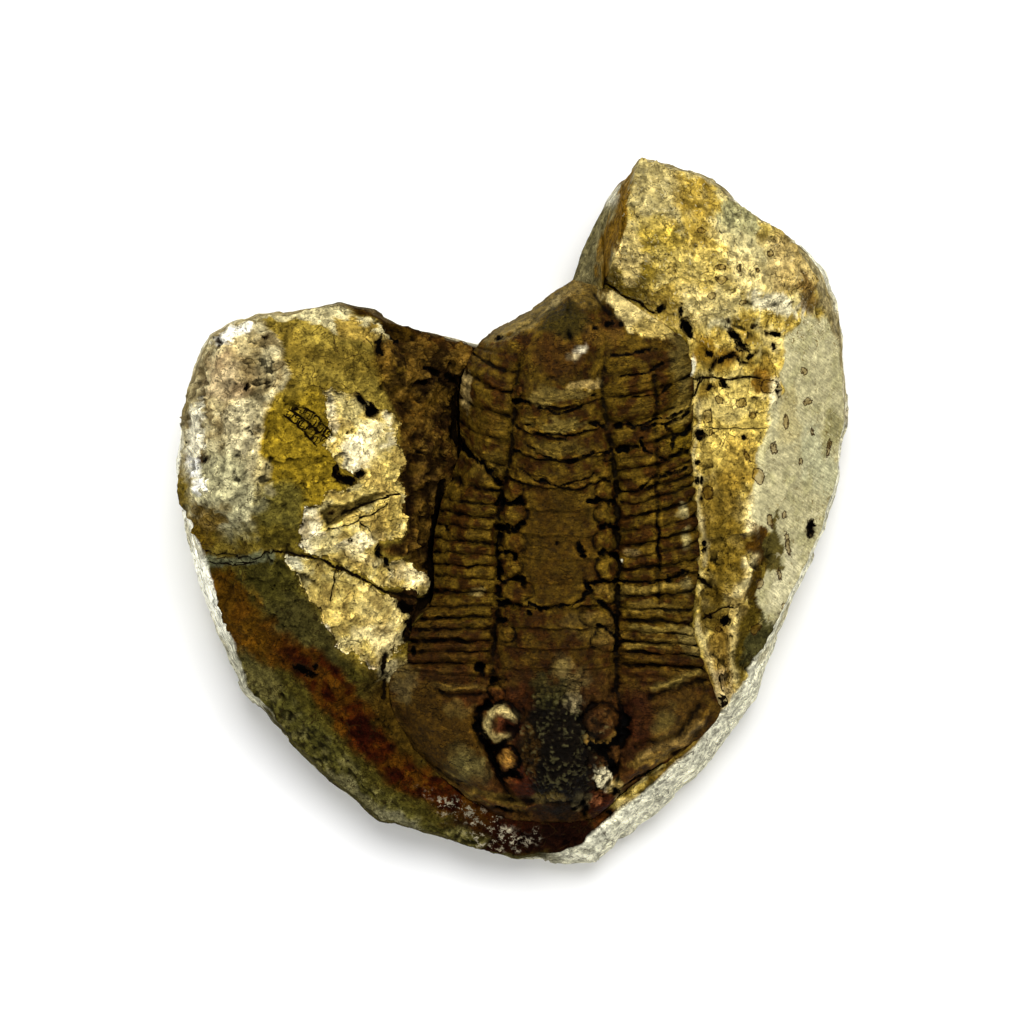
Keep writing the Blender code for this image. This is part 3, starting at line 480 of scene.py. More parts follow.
        (7, -29, 0.9, 1, 0, 0.3, 0.5, "#5f5636"), (-10.8, -17, 1.2, 1.6, 0, 0.4, 0.6, "#6b5c34"),
    ],
    "granules": [
        (4.6, -23.4, 3.6, 5.8, 0, 0.2, 1, "#ffffff"), (4, -18.2, 2.2, 1.4, 0, 0.3, 0.8, "#ffffff"),
        (9, -20.8, 1.3, 1.2, 0, 0.3, 0.8, "#ffffff"), (7.6, -25.6, 2, 2, 0, 0.3, 1, "#ffffff"),
    ],
    # streaks, each: half width, blur, strength, colour, points
    "streaks": [
        (0.42, 0.3, 0.8, "#a5945c", [(0.2, -20.4), (-0.8, -19.7), (-1.8, -19.9), (-2.5, -20.8), (-2.4, -22)]),
        (0.4, 0.25, 0.8, "#8f7e4a", [(-2.4, -22), (-1.5, -22.7), (-0.4, -22.4)]),
        (0.3, 0.2, 0.9, "#7a5c24", [(7.4, -22.6), (8.4, -23.2), (9.6, -23), (10.4, -22.2)]),
        (0.22, 0.2, 0.4, "#6a5420", [(-7.4, -17.2), (-5.6, -17.8), (-3.8, -17.3), (-2.6, -17.8)]),
        (0.26, 0.25, 0.5, "#7c6a30", [(14, -17.6), (15.6, -17.2), (17.6, -16.4), (18.8, -15.9)]),
        (0.24, 0.5, 0.6, "#7c6636", [(12.8, -24.6), (14.4, -23.6), (17.2, -22.8), (18.8, -21.2)]),
        (0.35, 0.2, 0.9, "#cdbb7e", [(10.8, -28.8), (12.4, -28), (13.4, -27)]),
    ],
}


def bodyPlan(station, side):
    # plan place for a station and a side from -1, left margin, to 1, right margin: straight in x
    # between margin, furrow and midline, and bowed in y by the square of the share
    plan = [throughTable(fossil["plan"], station, column) for column in range(1, 11)]
    leftX, leftY, grooveLX, grooveLY, midX, midY, grooveRX, grooveRY, rightX, rightY = plan
    left = side < 0.0
    grooveX, grooveY = np.where(left, grooveLX, grooveRX), np.where(left, grooveLY, grooveRY)
    edgeX, edgeY = np.where(left, leftX, rightX), np.where(left, leftY, rightY)
    reach, axis = np.abs(side), fossil["axisShare"]
    onAxis = np.clip(reach / axis, 0.0, 1.0)
    onPleura = np.clip((reach - axis) / (1.0 - axis), 0.0, 1.0)
    x = midX + (grooveX - midX) * onAxis + (edgeX - grooveX) * onPleura
    bow = 1.0 + ease(0.0, 1.2, station)                     # straight across at the tail's end
    y = midY + (grooveY - midY) * onAxis**bow + (edgeY - grooveY) * onPleura**bow
    return x, y


def segmentRelief(station, side, reach, onPleura, flat):
    # height of rings and ribs: a ring climbs to a lip at its front edge and drops into a furrow; a
    # pleura is one hump of a sine blended with two, between a deep furrow and a shallow one; noise
    # bends their lines, and wears them to different depths
    axis = fossil["axisShare"]
    table = np.asarray(fossil["segments"])
    ringDepth, ribDepth, grooveDepth, leadLeft, leadRight = (
        np.interp(station, table[:, 0], table[:, column]) for column in range(1, 6))
    shape = station.shape
    bend = (0.11 * fractal(flat, 2.6, 2, 301) + 0.05 * fractal(flat, 0.9, 3, 311)).reshape(shape)
    wear = ease(-0.55, 0.45, fractal(flat, 2.8, 3, 321)).reshape(shape)
    thorax = ease(4.6, 5.8, station)
    part = (station + bend) % 1.0
    ring = 0.50 * part + 0.24 * ease(0.0, 0.45, part) + 0.14 * np.exp(-(((part - 0.86) / 0.07) ** 2))
    ring = ring * (1.0 - ease(0.91, 1.0, part)) - 0.2 * np.exp(-((np.minimum(part, 1.0 - part) / 0.06) ** 2))
    onAxis = 1.0 - ease(axis - 0.06, axis + 0.01, reach)
    counts = np.asarray(fossil["ribCount"])
    lead = np.where(side < 0.0, leadLeft, leadRight) * ease(0.5, 1.2, station)
    rib = (np.interp(station, counts[:, 0], counts[:, 1]) + lead + 0.9 * bend) % 1.0
    double, single = np.abs(np.sin(2.0 * math.pi * rib)) ** 0.7, np.sin(math.pi * rib) ** 0.7
    deep = np.exp(-((np.minimum(rib, 1.0 - rib) / (0.13 - 0.03 * thorax)) ** 2)) * (0.45 + 0.75 * wear)
    shallow = np.exp(-(((rib - 0.5) / 0.06) ** 2)) * (1.2 - 0.9 * wear) * (0.3 + 0.7 * thorax)
    ribs = 0.52 * (single + (double - single) * (0.35 + 0.5 * thorax)) - 0.55 * deep - 0.24 * shallow
    tip = ease(0.88, 1.0, onPleura) * (deep + 0.5 * shallow) * 1.1       # the tips part from each other
    sway = fractal(flat, 1.5, 3, 341).reshape(shape)
    groove = np.exp(-(((reach - axis + 0.05 * sway) / 0.05) ** 2)) * grooveDepth * 1.1
    groove = groove * ease(-0.35, 0.25, sway)
    along = np.stack([side * 4.0, station * 7.5, 0.0 * side], axis=-1).reshape(-1, 3)
    carved = np.where(onPleura > 0.0, ribDepth, ringDepth)
    wrinkle = fractal(along, 1.0, 3, 331).reshape(shape) * (0.04 + 0.09 * carved)
    ribShare = ribDepth * ease(0.0, 0.1, onPleura)
    ribShare = ribShare * (1.0 - ease(0.35, 0.9, onPleura) * (1.0 - ease(0.7, 1.3, station)) * (side > 0.0))
    return ringDepth * (0.75 + 0.35 * wear) * ring * onAxis + ribShare * (ribs - tip) - groove + wrinkle


def bodyHeight(station, side):
    # smooth skin: furrow level, the axis as a flattened arch over it, the pleurae swelling and
    # then falling to the margin by a power of 1.8
    held = np.maximum(station, 0.3 * ease(0.1, 0.5, side))      # no drop where the tail lies in stone
    level, rise, swell, left, right = (throughTable(fossil["heights"], held, c) for c in range(1, 6))
    reach, axis = np.abs(side), fossil["axisShare"]
    onAxis = np.clip(reach / axis, 0.0, 1.0)
    onPleura = np.clip((reach - axis) / (1.0 - axis), 0.0, 1.0)
    z = level + rise * (1.0 - onAxis**2) ** 0.8
    z = z + swell * np.sin(math.pi * np.clip(onPleura / 0.9, 0.0, 1.0))
    z = z + (np.where(side < 0.0, left, right) - level) * onPleura**1.8
    z = z - 0.5 * np.exp(-(((station - 16.5) / 0.08) ** 2)) * (1.0 - ease(0.5, 0.8, reach))
    return z, onPleura


def fossilGrid():
    # the skin on an even grid of station and side: smooth height, rings and ribs, then each table
    # of knobs, dents, folds, slots and pits added as a bell of the distance to it, which noise bends
    rows, columns = fossil["rows"], fossil["columns"]
    station, side = np.meshgrid(np.linspace(0.0, 17.0, rows), np.linspace(-1.0, 1.0, columns), indexing="ij")
    x, y = bodyPlan(station, side)
    z, onPleura = bodyHeight(station, side)
    smooth = z.copy()
    flat = np.stack([x, y, z], axis=-1).reshape(-1, 3)
    z = z + segmentRelief(station, side, np.abs(side), onPleura, flat)
    shiftX = x + (fractal(flat, 1.5, 4, 71) * 0.32).reshape(z.shape)
    shiftY = y + (fractal(flat, 1.5, 4, 81) * 0.32).reshape(z.shape)
    for knobX, knobY, halfX, halfY, height in fossil["knobs"]:
        away = np.hypot((shiftX - knobX) / halfX, (shiftY - knobY) / halfY)
        crown, moat = np.exp(-((away / 0.86) ** 4)), np.exp(-(((away - 1.12) / 0.14) ** 2))
        z = z + fossil["knobRise"] * height * crown - fossil["knobMoat"] * height * moat
    for dentX, dentY, halfX, halfY, depth in fossil["dents"]:
        away = np.hypot((shiftX - dentX) / halfX, (shiftY - dentY) / halfY)
        z = z - depth * np.exp(-((away / 0.8) ** 3))
    for half, height, points in fossil["folds"]:
        far = lineReach(shiftX, shiftY, points)[0]
        z = z + height * np.exp(-((far / half) ** 2))
    slotDepth = np.full(z.shape, -9.0)
    narrow = (0.4 + 0.9 * ease(-0.5, 0.6, fractal(flat, 1.1, 4, 91))).reshape(z.shape)
    for half, depth, points in fossil["slots"]:
        far = lineReach(shiftX, shiftY, points)[0]
        z = z - depth * (1.0 - ease(0.2 * half, 1.9 * half, far)) * np.minimum(narrow, 1.0)
        slotDepth = np.maximum(slotDepth, half * narrow - far)
    pitDepth = ovalDepth(shiftX, shiftY, fossil["pits"])
    z = z - fossil["pitDepth"] * ease(-0.15, 0.3, pitDepth)
    return x, y, z, smooth, np.maximum(slotDepth, pitDepth)


fossilX, fossilY, fossilZ, fossilSmooth, fossilSlot = fossilGrid()
edgeRing = np.concatenate([
    np.stack([fossilX[:-1, 0], fossilY[:-1, 0], fossilSmooth[:-1, 0]], axis=1),
    np.stack([fossilX[-1, :-1], fossilY[-1, :-1], fossilSmooth[-1, :-1]], axis=1),
    np.stack([fossilX[:0:-1, -1], fossilY[:0:-1, -1], fossilSmooth[:0:-1, -1]], axis=1),
    np.stack([fossilX[0, :0:-1], fossilY[0, :0:-1], fossilSmooth[0, :0:-1]], axis=1),
])
print("fossil laid out")


# The stone: where its surface lies

stone = {
    "centre": (9.3, -4.0),      # outline, rim and the fossil's bed are each seen whole from here
    "around": 750,
    "bedRings": 5,
    "topRings": 94,
    "wallRings": 20,
    "footRings": 9,
    "baseInset": 3.4,
    "rimChips": 0.22,
    "smallFlakes": 0.26,        # heights of the broken faces, 1.4, 2.6 and 4.6 mm across
    "middleFlakes": 0.30,
    "largeFlakes": 0.5,
    "scarDepth": 0.34,
    "shaleDepth": 0.35,
    "holeDepth": 1.0,
    "socketDepth": 0.14,
    # widest line, anticlockwise from under the tail: x, y, wall's width from above, rim height,
    # height of the widest line
    "rim": [
        (5.2, 21.6, 0.5, 12.4, 6.5), (1.8, 19.2, 0.5, 12, 6.5), (-1.2, 16.6, 0.5, 12.2, 6.5),
        (-3.6, 16.9, 0.5, 13.6, 8), (-8.7, 18.1, 0.5, 15.2, 8.5), (-11.4, 18.9, 0.5, 16.2, 9),
        (-13.7, 20.1, 0.5, 17.6, 9.5), (-17.2, 20.9, 0.4, 19.2, 10), (-22.2, 20.1, 0.4, 19.6, 10),
        (-25.7, 19.7, 0.4, 19, 9.5), (-28.2, 18.9, 0.4, 18, 9), (-30.3, 17.7, 0.4, 17, 8.5),
        (-31.4, 15.6, 0.4, 16.4, 8), (-33.1, 10, 0.4, 15.6, 7.5), (-33.7, 4, 0.4, 14.6, 7),
        (-33.3, 1, 0.4, 14.2, 6.5), (-32.6, -3, 1.3, 14.2, 6), (-31.5, -7, 1.5, 13.6, 5.5),
        (-29.9, -11, 1.2, 12.6, 5), (-28.3, -15, 0.8, 11.2, 4.5), (-26.9, -18, 0.5, 10, 4.5),
        (-21.2, -24.3, 0.4, 8.2, 4), (-18.4, -27, 0.4, 7.6, 4), (-13.4, -31, 0.4, 6.8, 3.5),
        (-7, -33, 0.4, 6.4, 3.5), (0, -35, 0.4, 6.2, 3), (4.8, -35.4, 1.2, 6.6, 2.8),
        (8, -35.3, 2.6, 7.4, 2.6), (10.3, -34.1, 3, 8.2, 2.6), (11.1, -32.8, 2.6, 8.6, 2.6),
        (13.8, -31, 2.8, 9.2, 2.8), (17.1, -28, 2.8, 10, 3), (20.2, -25, 2.6, 10.8, 3.2),
        (22.9, -21, 2.3, 11.6, 3.4), (24.5, -19, 2.4, 12.2, 3.6), (25.3, -16.2, 1.6, 12.6, 4),
        (26.9, -12, 0.8, 12, 4.5), (29.1, -7, 0.5, 10.2, 5), (31.4, -2, 0.4, 9.2, 5),
        (32.9, 3, 0.4, 9.2, 5), (33.7, 11, 0.4, 10.2, 5.5), (33.4, 16, 0.6, 11.8, 6),
        (32.6, 21, 1.7, 14.4, 6.5), (31.3, 24.2, 1.3, 16.8, 7), (28.5, 27, 0.5, 19.2, 8),
        (25.4, 29, 0.4, 21.2, 9), (19.8, 33.2, 0.4, 24, 10), (17.9, 34.1, 0.4, 24.6, 10),
        (12.8, 35.4, 0.4, 26, 10), (11.6, 33.4, 0.6, 26, 10), (9.4, 31, 2, 26, 9.5),
        (7.9, 28, 3.1, 25.6, 9), (6.8, 25.5, 3.2, 23.6, 8.5), (6.1, 23.4, 2.9, 19.6, 8),
        (5.7, 22.5, 1.6, 14, 7.4),
    ],
    # spot heights on the broken upper face: x, y, z
    "spots": [
        # left lobe: crest, outer edge, inner face, top bevel
        (-27.7, 17.5, 22.6), (-25, 15, 24.3), (-25, 9, 25.4), (-25, 3, 25),
        (-25.7, -2.5, 22.4), (-30.7, 15.6, 20), (-31.6, 11, 19.4), (-32, 6, 19),
        (-32.3, 1.5, 18.2), (-31.4, -3.4, 16.4), (-21.2, 16.5, 24.2), (-16.7, 15.8, 23.2),
        (-12.7, 14.5, 21.2), (-21.2, 11, 25), (-18.7, 7, 24.8), (-19.2, 1, 23.8),
        (-21.2, -3, 22.2), (-21.2, 19, 22.2), (-16.7, 17.7, 21.9), (-12, 15.9, 19.8),
        # hollow towards the far rim, chipped face, slope down to the fossil
        (-11.2, 16.5, 18.2), (-7.2, 15.5, 15.8), (-4.4, 15.8, 14.2), (-8.2, 11, 15.6),
        (-17.7, 11, 23.8), (-15.2, 11, 22.8), (-12.7, 8, 20.8), (-11.7, 3, 19.2),
        (-16.7, 4, 23.2), (-15.2, 1, 22), (-18.2, -1, 23), (-11.2, -1, 18),
        (-12.7, -5, 18.8), (-8.8, -8, 15.8), (-10.2, 8, 17.3), (-6.4, 6.6, 14.6),
        (-7.8, 1, 14.2), (-9.7, -3, 15), (-8.4, -5.6, 14.4), (-10.6, -13, 14.2),
        (-12.6, -16, 12.9),
        # either side of the cross crack, the fresh triangle, the front left slope
        (-30.6, -4, 15.9), (-26, -4.2, 20), (-20.6, -4.6, 20.9), (-30.2, -5.4, 14.6),
        (-26, -5.6, 18.2), (-20.6, -6, 19.4), (-18.2, -11, 17.6), (-11.4, -10.6, 15.8),
        (-12.4, -14.6, 13.8), (-16.7, -13, 16), (-25.2, -8, 17.2), (-21.2, -13, 15.8),
        (-16.2, -15.5, 14), (-13.2, -17.2, 12.5), (-27.2, -11, 14.6), (-21.2, -17, 12.6),
        (-17.2, -21, 11.4), (-12.2, -25, 10), (-7.2, -29, 8.6), (-9.2, -22, 11.2),
        (-3.2, -32, 7.2), (4.8, -32.5, 7.6), (9.8, -30.2, 9.2), (7.8, -31.5, 8.6),
        # right of the fossil: band, ridge, sawn bevel
        (18.8, 13, 18.9), (19, 6, 17.9), (19.3, -1, 16.8), (19.6, -7, 15.7),
        (19.8, -13, 14.2), (21.3, -19, 12.2), (26.6, 17, 21), (26.3, 13, 20.6),
        (25.3, 8, 20), (24.3, 3, 19.1), (23.6, -2, 18), (23, -8, 16.4),
        (22.8, -14, 14.4), (22.3, -18.5, 12.6), (30.3, 11, 14.6), (29.4, 3, 13.2),
        (28, -5, 12),
        # tall lobe, and from it down to the tail
        (14.8, 29, 27), (14.8, 24.4, 24.9), (18.8, 27, 25.9), (22.8, 24, 24.3),
        (27.8, 22, 20.8), (30.4, 21, 17.4), (18.8, 20, 22.4), (23.8, 19, 22),
        (27.8, 18.8, 20), (13.3, 20.8, 21), (16.8, 18, 20.2), (18.8, 16, 19.9),
        (11.3, 31.5, 26.3), (11, 27.5, 25.6), (9.5, 22.7, 20.8), (12.2, 23.4, 23.2),
    ],
    # open seams between fossil and stone: x, y, how far it reaches, width
    "seams": [
        (-5.4, 11, 3.4, 0.5), (-5.6, 7.2, 1.8, 0.35), (-7.6, 0.5, 2.2, 0.3), (-7.9, -4, 2, 0.3),
        (-7.6, -8, 1.4, 0.4), (18, -6.2, 0.9, 0.35), (-9.6, -12.6, 1.4, 0.15),
    ],
    # how far the stone stands over the fossil's margin (below it if negative): x, y, reach, step
    "ledges": [
        (-5.6, 10, 4, -1.6), (-7.8, -3, 4, -0.5), (18.6, 0, 9, 0.35), (18, 14, 3, 0.2),
        (20.4, -17, 4, 0.3),
    ],
    # cracks: half width, depth, points
    "cracks": [
        (0.12, 0.5, [(-22.4, -3.9), (-20.2, -4.3), (-18.2, -5.2), (-16.2, -6.1), (-14.2, -7),
                     (-12.4, -8.1), (-10.7, -8.5), (-8.6, -8.7)]),
        (0.05, 0.3, [(-32, -4), (-28.6, -4.2), (-25.6, -4.6), (-24.4, -4.1), (-22.4, -3.9)]),
        (0.04, 0.2, [(-31.6, -5), (-28.4, -5.2), (-25.7, -5)]),
        (0.05, 0.3, [(-17.7, -5.6), (-17.8, -6.9), (-18.1, -8.6)]),
        (0.14, 0.6, [(-12.6, -14.4), (-13.1, -15.6), (-12.9, -16.8), (-12.8, -18.6)]),
        (0.08, 0.3, [(9.5, 22.6), (10.9, 21.8), (13, 20.6), (14.2, 19.9)]),
        (0.08, 0.3, [(18, 13.2), (19.8, 13.4), (22.6, 13.2), (24.4, 13.3)]),
        (0.03, 0.1, [(19.4, 8.5), (21.6, 8.4), (25.3, 8.3)]),
        (0.1, 0.4, [(30.4, 24.6), (30.9, 22.6), (31, 21.2), (31.6, 19.6), (32.8, 17.8)]),
        (0.22, 0.8, [(17.4, -5.8), (18.2, -6), (19, -6.8), (19.8, -7.2)]),
        (0.1, 0.4, [(20.8, -18.6), (21.2, -19.6), (21.6, -20.8)]),
        (0.14, 0.9, [(10.7, -28.2), (12.8, -26.6), (14.6, -25.4), (15.4, -24.8)]),
        (0.05, 0.2, [(-14.9, -1), (-14.2, -1.6), (-13.6, -2.6)]),
        (0.06, 0.2, [(-17, -0.4), (-14, 0.9), (-11.6, 1.9)]),
        (0.05, 0.2, [(-18.4, -2), (-16.6, -1.4), (-14.2, -0.2), (-12.6, 0.8)]),
        (0.08, 0.2, [(-22.7, 9.4), (-21.5, 8.6), (-20.4, 7.8), (-19.6, 6.7)]),
        (0.08, 0.2, [(-22, 10), (-20.7, 9.2), (-19.5, 8.3), (-18.4, 7.3)]),
        (0.08, 0.2, [(-20.9, 10.3), (-19.6, 9.7), (-18.5, 8.6), (-18, 7.9)]),
        (0.06, 0.1, [(-21.5, 10.3), (-22, 9.2)]), (0.06, 0.1, [(-20.6, 10), (-21.4, 8.6)]),
        (0.06, 0.1, [(-19.8, 9.6), (-20.6, 8)]), (0.06, 0.1, [(-19, 9.2), (-19.8, 7.4)]),
        (0.06, 0.1, [(-18.4, 8.6), (-19, 7)]), (0.07, 0.1, [(-21.2, 9.6), (-20.2, 8.9), (-19.2, 7.9)]),
        (0.05, 0.2, [(19.2, -10.6), (21, -9.6), (22.2, -9.6)]),
        (0.07, 0.3, [(18.7, 13), (18.3, 12), (17, 11)]),
        (0.04, 0.2, [(20.7, -15), (21, -17.4), (21.2, -19)]),
        (0.45, 0.9, [(-5, 13.4), (-5.7, 11.6), (-6, 9.8), (-5.8, 8), (-5.4, 6.8)]),
        (0.4, 0.9, [(-6.9, 3), (-7.4, 1.6), (-8, -1.6), (-8.3, -4.8), (-8.1, -7.6), (-8.6, -8.9)]),
        (0.5, 0.9, [(-8.6, -8.9), (-10, -10.1), (-10.5, -12.6)]),
    ],
    # holes, painted near black inside as their shade: x, y, half width, half length, turn
    "holes": [
        (17.4, 18.4, 0.45, 0.95, 18), (22.1, 17.5, 0.34, 0.7, 50), (22.9, 16.6, 0.34, 0.62, 55),
        (14.8, 20.3, 0.3, 0.3, 0), (16.7, 19.8, 0.15, 0.4, 0), (21.5, 18.9, 0.25, 0.25, 0),
        (19.5, 15.9, 0.38, 0.24, -20), (21.9, 15.7, 0.42, 0.28, -10), (20.1, 14.6, 0.25, 0.62, -25),
        (20.9, 15.1, 0.36, 0.2, 30), (23.2, 14.8, 0.4, 0.2, -10), (22.6, 15.4, 0.22, 0.18, 0),
        (23.6, 15.4, 0.28, 0.18, 20), (24.4, 15.9, 0.3, 0.15, 20), (24.1, 18.5, 0.3, 0.12, 30),
        (21.4, 12.8, 0.45, 0.28, -25), (19.7, 12.4, 0.35, 0.25, 0), (18.6, 7.8, 0.42, 0.55, 20),
        (22.9, 7.5, 0.2, 0.2, 0), (26.5, 17.7, 0.5, 0.16, -10), (25.6, 17.8, 0.28, 0.14, -20),
        (26.3, 16.5, 0.2, 0.18, 0), (29.8, -1.7, 0.42, 0.9, 0), (21.4, -10.8, 0.62, 0.52, 20),
        (19.1, -3.1, 0.16, 0.3, 15), (19.3, -3.8, 0.12, 0.2, 0), (19.9, -10.4, 0.2, 0.18, 0),
        (26.7, -10.3, 0.16, 0.18, 0), (26.3, 12.2, 0.22, 0.7, 0), (18.4, 2.9, 0.18, 0.35, 0),
        (18.9, 3, 0.18, 0.3, -15), (18.5, 5, 0.25, 0.25, 0), (18.8, 1.4, 0.2, 0.35, 0),
        (-21, -15.6, 0.8, 0.42, -10), (-20, -16.3, 0.5, 0.3, 0), (-19.7, -15.3, 0.3, 0.2, 0),
        (-29.4, 16.9, 0.25, 0.45, 15), (-26.2, 12.4, 0.25, 0.45, 0), (-30.6, 5.2, 0.35, 0.35, 0),
        (-33, 7.1, 0.16, 0.16, 0), (-13.9, 9.9, 0.62, 0.66, 0), (-14.8, 10.9, 0.28, 0.8, 25),
        (-12.8, 17.7, 0.35, 0.18, -15), (-11.8, 17.2, 0.6, 0.35, -35), (-13.4, 16.4, 0.3, 0.5, 20),
        (-16.5, 3.2, 0.9, 0.45, -10), (-17.2, 4.2, 0.3, 0.6, 10), (-15.2, 3.9, 0.35, 0.5, -20),
        (-10.6, -9.6, 0.9, 0.5, -35), (-10.1, -11.4, 0.25, 0.7, 10), (-10.7, -10.8, 0.4, 0.3, 0),
        (-8, 14.2, 0.9, 0.4, -20), (-6.2, 13.4, 0.9, 0.45, -35), (-9, 13, 0.5, 0.35, 20),
        (-12.9, -4.2, 0.35, 0.6, 0), (-12.4, -5, 0.2, 0.5, 10), (-16, -2.9, 0.2, 0.15, 0),
        (-18, -0.2, 0.2, 0.2, 0), (7, 23.9, 0.25, 0.2, 0), (7.5, 23.6, 0.2, 0.25, 0),
        (10, -30.4, 0.5, 0.3, -40), (-24.6, 17.2, 0.16, 0.16, 0),
    ],
    # ringed sockets left by shell and stem pieces: x, y, half width, half length, turn
    "sockets": [
        (20.8, 23.2, 0.6, 0.4, 0), (20.7, 24.3, 0.6, 0.28, 0), (19.9, 21.6, 0.4, 0.36, 0),
        (22.4, 24.1, 0.28, 0.45, 15), (20.8, 11.2, 0.42, 0.42, 0), (22.8, 10.9, 0.55, 0.52, 0),
        (19.7, 9.6, 0.5, 0.8, -12), (19.8, 8, 0.4, 0.3, 0), (19.6, 2, 0.7, 0.75, 0),
        (24.6, 3.5, 0.62, 0.85, 20), (25.8, -0.9, 0.32, 0.75, 10), (24.7, -7.3, 0.38, 0.6, 0),
        (24.5, -11.8, 0.42, 0.62, -35), (27.3, 9, 0.28, 0.62, 0), (26.2, 6.3, 0.36, 0.6, 10),
        (28.8, 5, 0.24, 0.36, 0), (31.7, 6.4, 0.26, 0.85, -15), (29.6, 11, 0.5, 0.34, 10),
        (27.6, -3.3, 0.26, 1.4, 12), (26.8, -6.3, 0.28, 0.6, 10), (27.2, -9.5, 0.34, 0.5, 0),
        (30, 8.2, 0.18, 0.5, 15), (27.2, -0.3, 0.22, 0.5, 10), (31.8, 0, 0.26, 0.5, -10),
        (29.1, 14.1, 0.3, 0.4, 0), (23.4, 5.6, 0.22, 0.8, 35), (23, 20.8, 0.7, 0.3, -15),
        (24.6, 24.1, 0.3, 0.28, 0), (25.8, 25.8, 0.28, 0.5, 0), (18.8, 27.9, 0.5, 0.3, 0),
        (20.6, -11.9, 0.42, 0.32, 0), (24, 9.6, 0.45, 0.4, 0), (25.4, 12.6, 0.8, 0.7, 0),
    ],
    # flake scars of fresh stone
    "whiteScar": [
        (-18.7, 12.2), (-16.7, 12), (-15.2, 11.9), (-14.6, 10.9), (-14, 10.2), (-12.9, 10.4),
        (-11.7, 10.2), (-11.5, 8.7), (-12, 7.4), (-11.4, 6.7), (-11.2, 5.2), (-11.5, 3.7),
        (-11, 2.7), (-10.7, 1.2), (-10.7, -0.8), (-11.4, -2.3), (-12.7, -3.3), (-13.2, -4.3),
        (-11.7, -4.8), (-9.2, -5.8), (-8.2, -6.6), (-8.7, -8), (-10.7, -7.8), (-12.7, -7.3),
        (-15.2, -6.3), (-17.7, -5), (-20.2, -4), (-20.9, -3.3), (-21.2, -1.3), (-20.4, 0.2),
        (-19.2, 0.7), (-18.7, 1.7), (-16.7, 2.2), (-15.4, 3.2), (-16, 4.2), (-16.9, 4.9),
        (-17.7, 5.2), (-18.6, 6.4), (-18.2, 7.7), (-18.2, 9.7), (-18.2, 11.2),
    ],
    "fallenScar": [
        (-22.7, -4.1), (-21.2, -4.1), (-18.7, -5.3), (-16.7, -6), (-14.7, -6.9), (-12.7, -8.3),
        (-11.2, -9.1), (-10, -10), (-10.2, -11.6), (-10.7, -12.8), (-11.7, -14), (-13.2, -15.3),
        (-14, -15.8), (-15.7, -14.4), (-17.2, -13.3), (-19, -10.8), (-20, -8.8), (-21.2, -6.6),
        (-22.2, -5),
    ],
    "brownSlope": [
        (-13.6, 16.6), (-12.4, 12.6), (-11.6, 10.2), (-11.4, 6.8), (-11.2, 3), (-10.6, -1), (-11.2, -3),
        (-12.6, -3.8), (-9, -5.6), (-8.6, -7.6), (-9.8, -10.4), (-8, -10), (-7.2, -6), (-6.8, 1),
        (-5, 6), (-4.4, 10), (-3, 14), (-4, 17), (-8, 18),
    ],
    # ridges and grooves drawn in the surface: half width, height, points
    "folds": [
        (0.9, 0.5, [(-12.2, 16.2), (-10.6, 11), (-8.6, 7), (-7.4, 3.4)]),
        (0.5, -0.5, [(-6.2, 14.6), (-5.6, 11), (-6.2, 7.6)]),
        (0.6, 0.5, [(26.2, 12.8), (25.4, 6.6), (24.2, 1.6), (24, -2), (23, -6.6), (22.2, -10),
                    (22.4, -17.6)]),
        (0.35, 0.4, [(18.7, 12.8), (18.5, 6), (18.9, 0), (19, -5.4), (18.6, -10.6), (19.6, -13.6),
                     (21, -18.4)]),
        (0.4, -0.5, [(20, -6), (20.6, -9), (20.8, -13), (21.4, -17)]),
        (0.5, -0.4, [(-9.6, -23.8), (-11.2, -19.6), (-12, -17.6)]),
        (0.4, 0.4, [(10.8, -28.8), (13, -27.4), (15.6, -25.6), (18.2, -23.2), (20.2, -20.6)]),
        (0.3, 0.4, [(-23.4, 18.4), (-23, 14.4), (-24.6, 10), (-25.2, 4), (-26.4, -0.8)]),
    ],
    "shaleBand": [
        (-18.7, 0.7), (-16.7, 0.9), (-15.2, 1.4), (-11.7, 2), (-13.2, 1.2), (-15.2, 0),
        (-17.2, -1.3), (-18.4, -1.8), (-19.2, -0.3),
    ],
    "roughPlateau": [
        (-31.2, 16.7), (-28.7, 18.2), (-25, 18.6), (-22.9, 16.7), (-22.2, 13.7), (-23.7, 11.2),
        (-24.7, 9.2), (-25, 6.2), (-25.4, 3.2), (-26.2, -0.8), (-29.7, -2.3), (-32.2, -0.8),
        (-33.2, 6.2), (-32.2, 12.2),
    ],
    "creamBevel": [
        (-31.4, 17.7), (-27.2, 20.6), (-21.2, 21.4), (-18.7, 20.6), (-16.7, 20.2), (-13.7, 18.7),
        (-11.2, 16.7), (-12, 15.7), (-14.2, 17.2), (-17.2, 17.9), (-21.2, 19), (-25, 18.8),
        (-28.7, 18.2), (-30.7, 16.3),
    ],
    "farRim": [
        (-20.7, 21.6), (-16.7, 22), (-11.2, 20.2), (-6.2, 18.9), (-1, 17.6), (-4.2, 15),
        (-5.7, 13.7), (-8.2, 14.7), (-11.2, 16.4), (-13.7, 18.9), (-16.7, 20.3), (-20.7, 20.6),
    ],
    "sawnFace": [
        (28.8, 19.4), (28, 18.2), (27.3, 16.7), (26.9, 14.2), (26.8, 11.7), (26.1, 11.2),
        (25.8, 8.7), (25.2, 6.7), (24.5, 4.7), (24, 2.2), (23.8, -0.3), (24.8, -1.3),
        (25.6, -1.8), (26.1, -3.3), (26.3, -4.8), (25.6, -6.3), (24.6, -6.8), (24.5, -8.8),
        (25, -10.6), (26.3, -11.6), (27.5, -12.2), (32, -4), (36, 8), (36, 14),
        (34, 20), (30.8, 19.4),
    ],
    "topFace": [
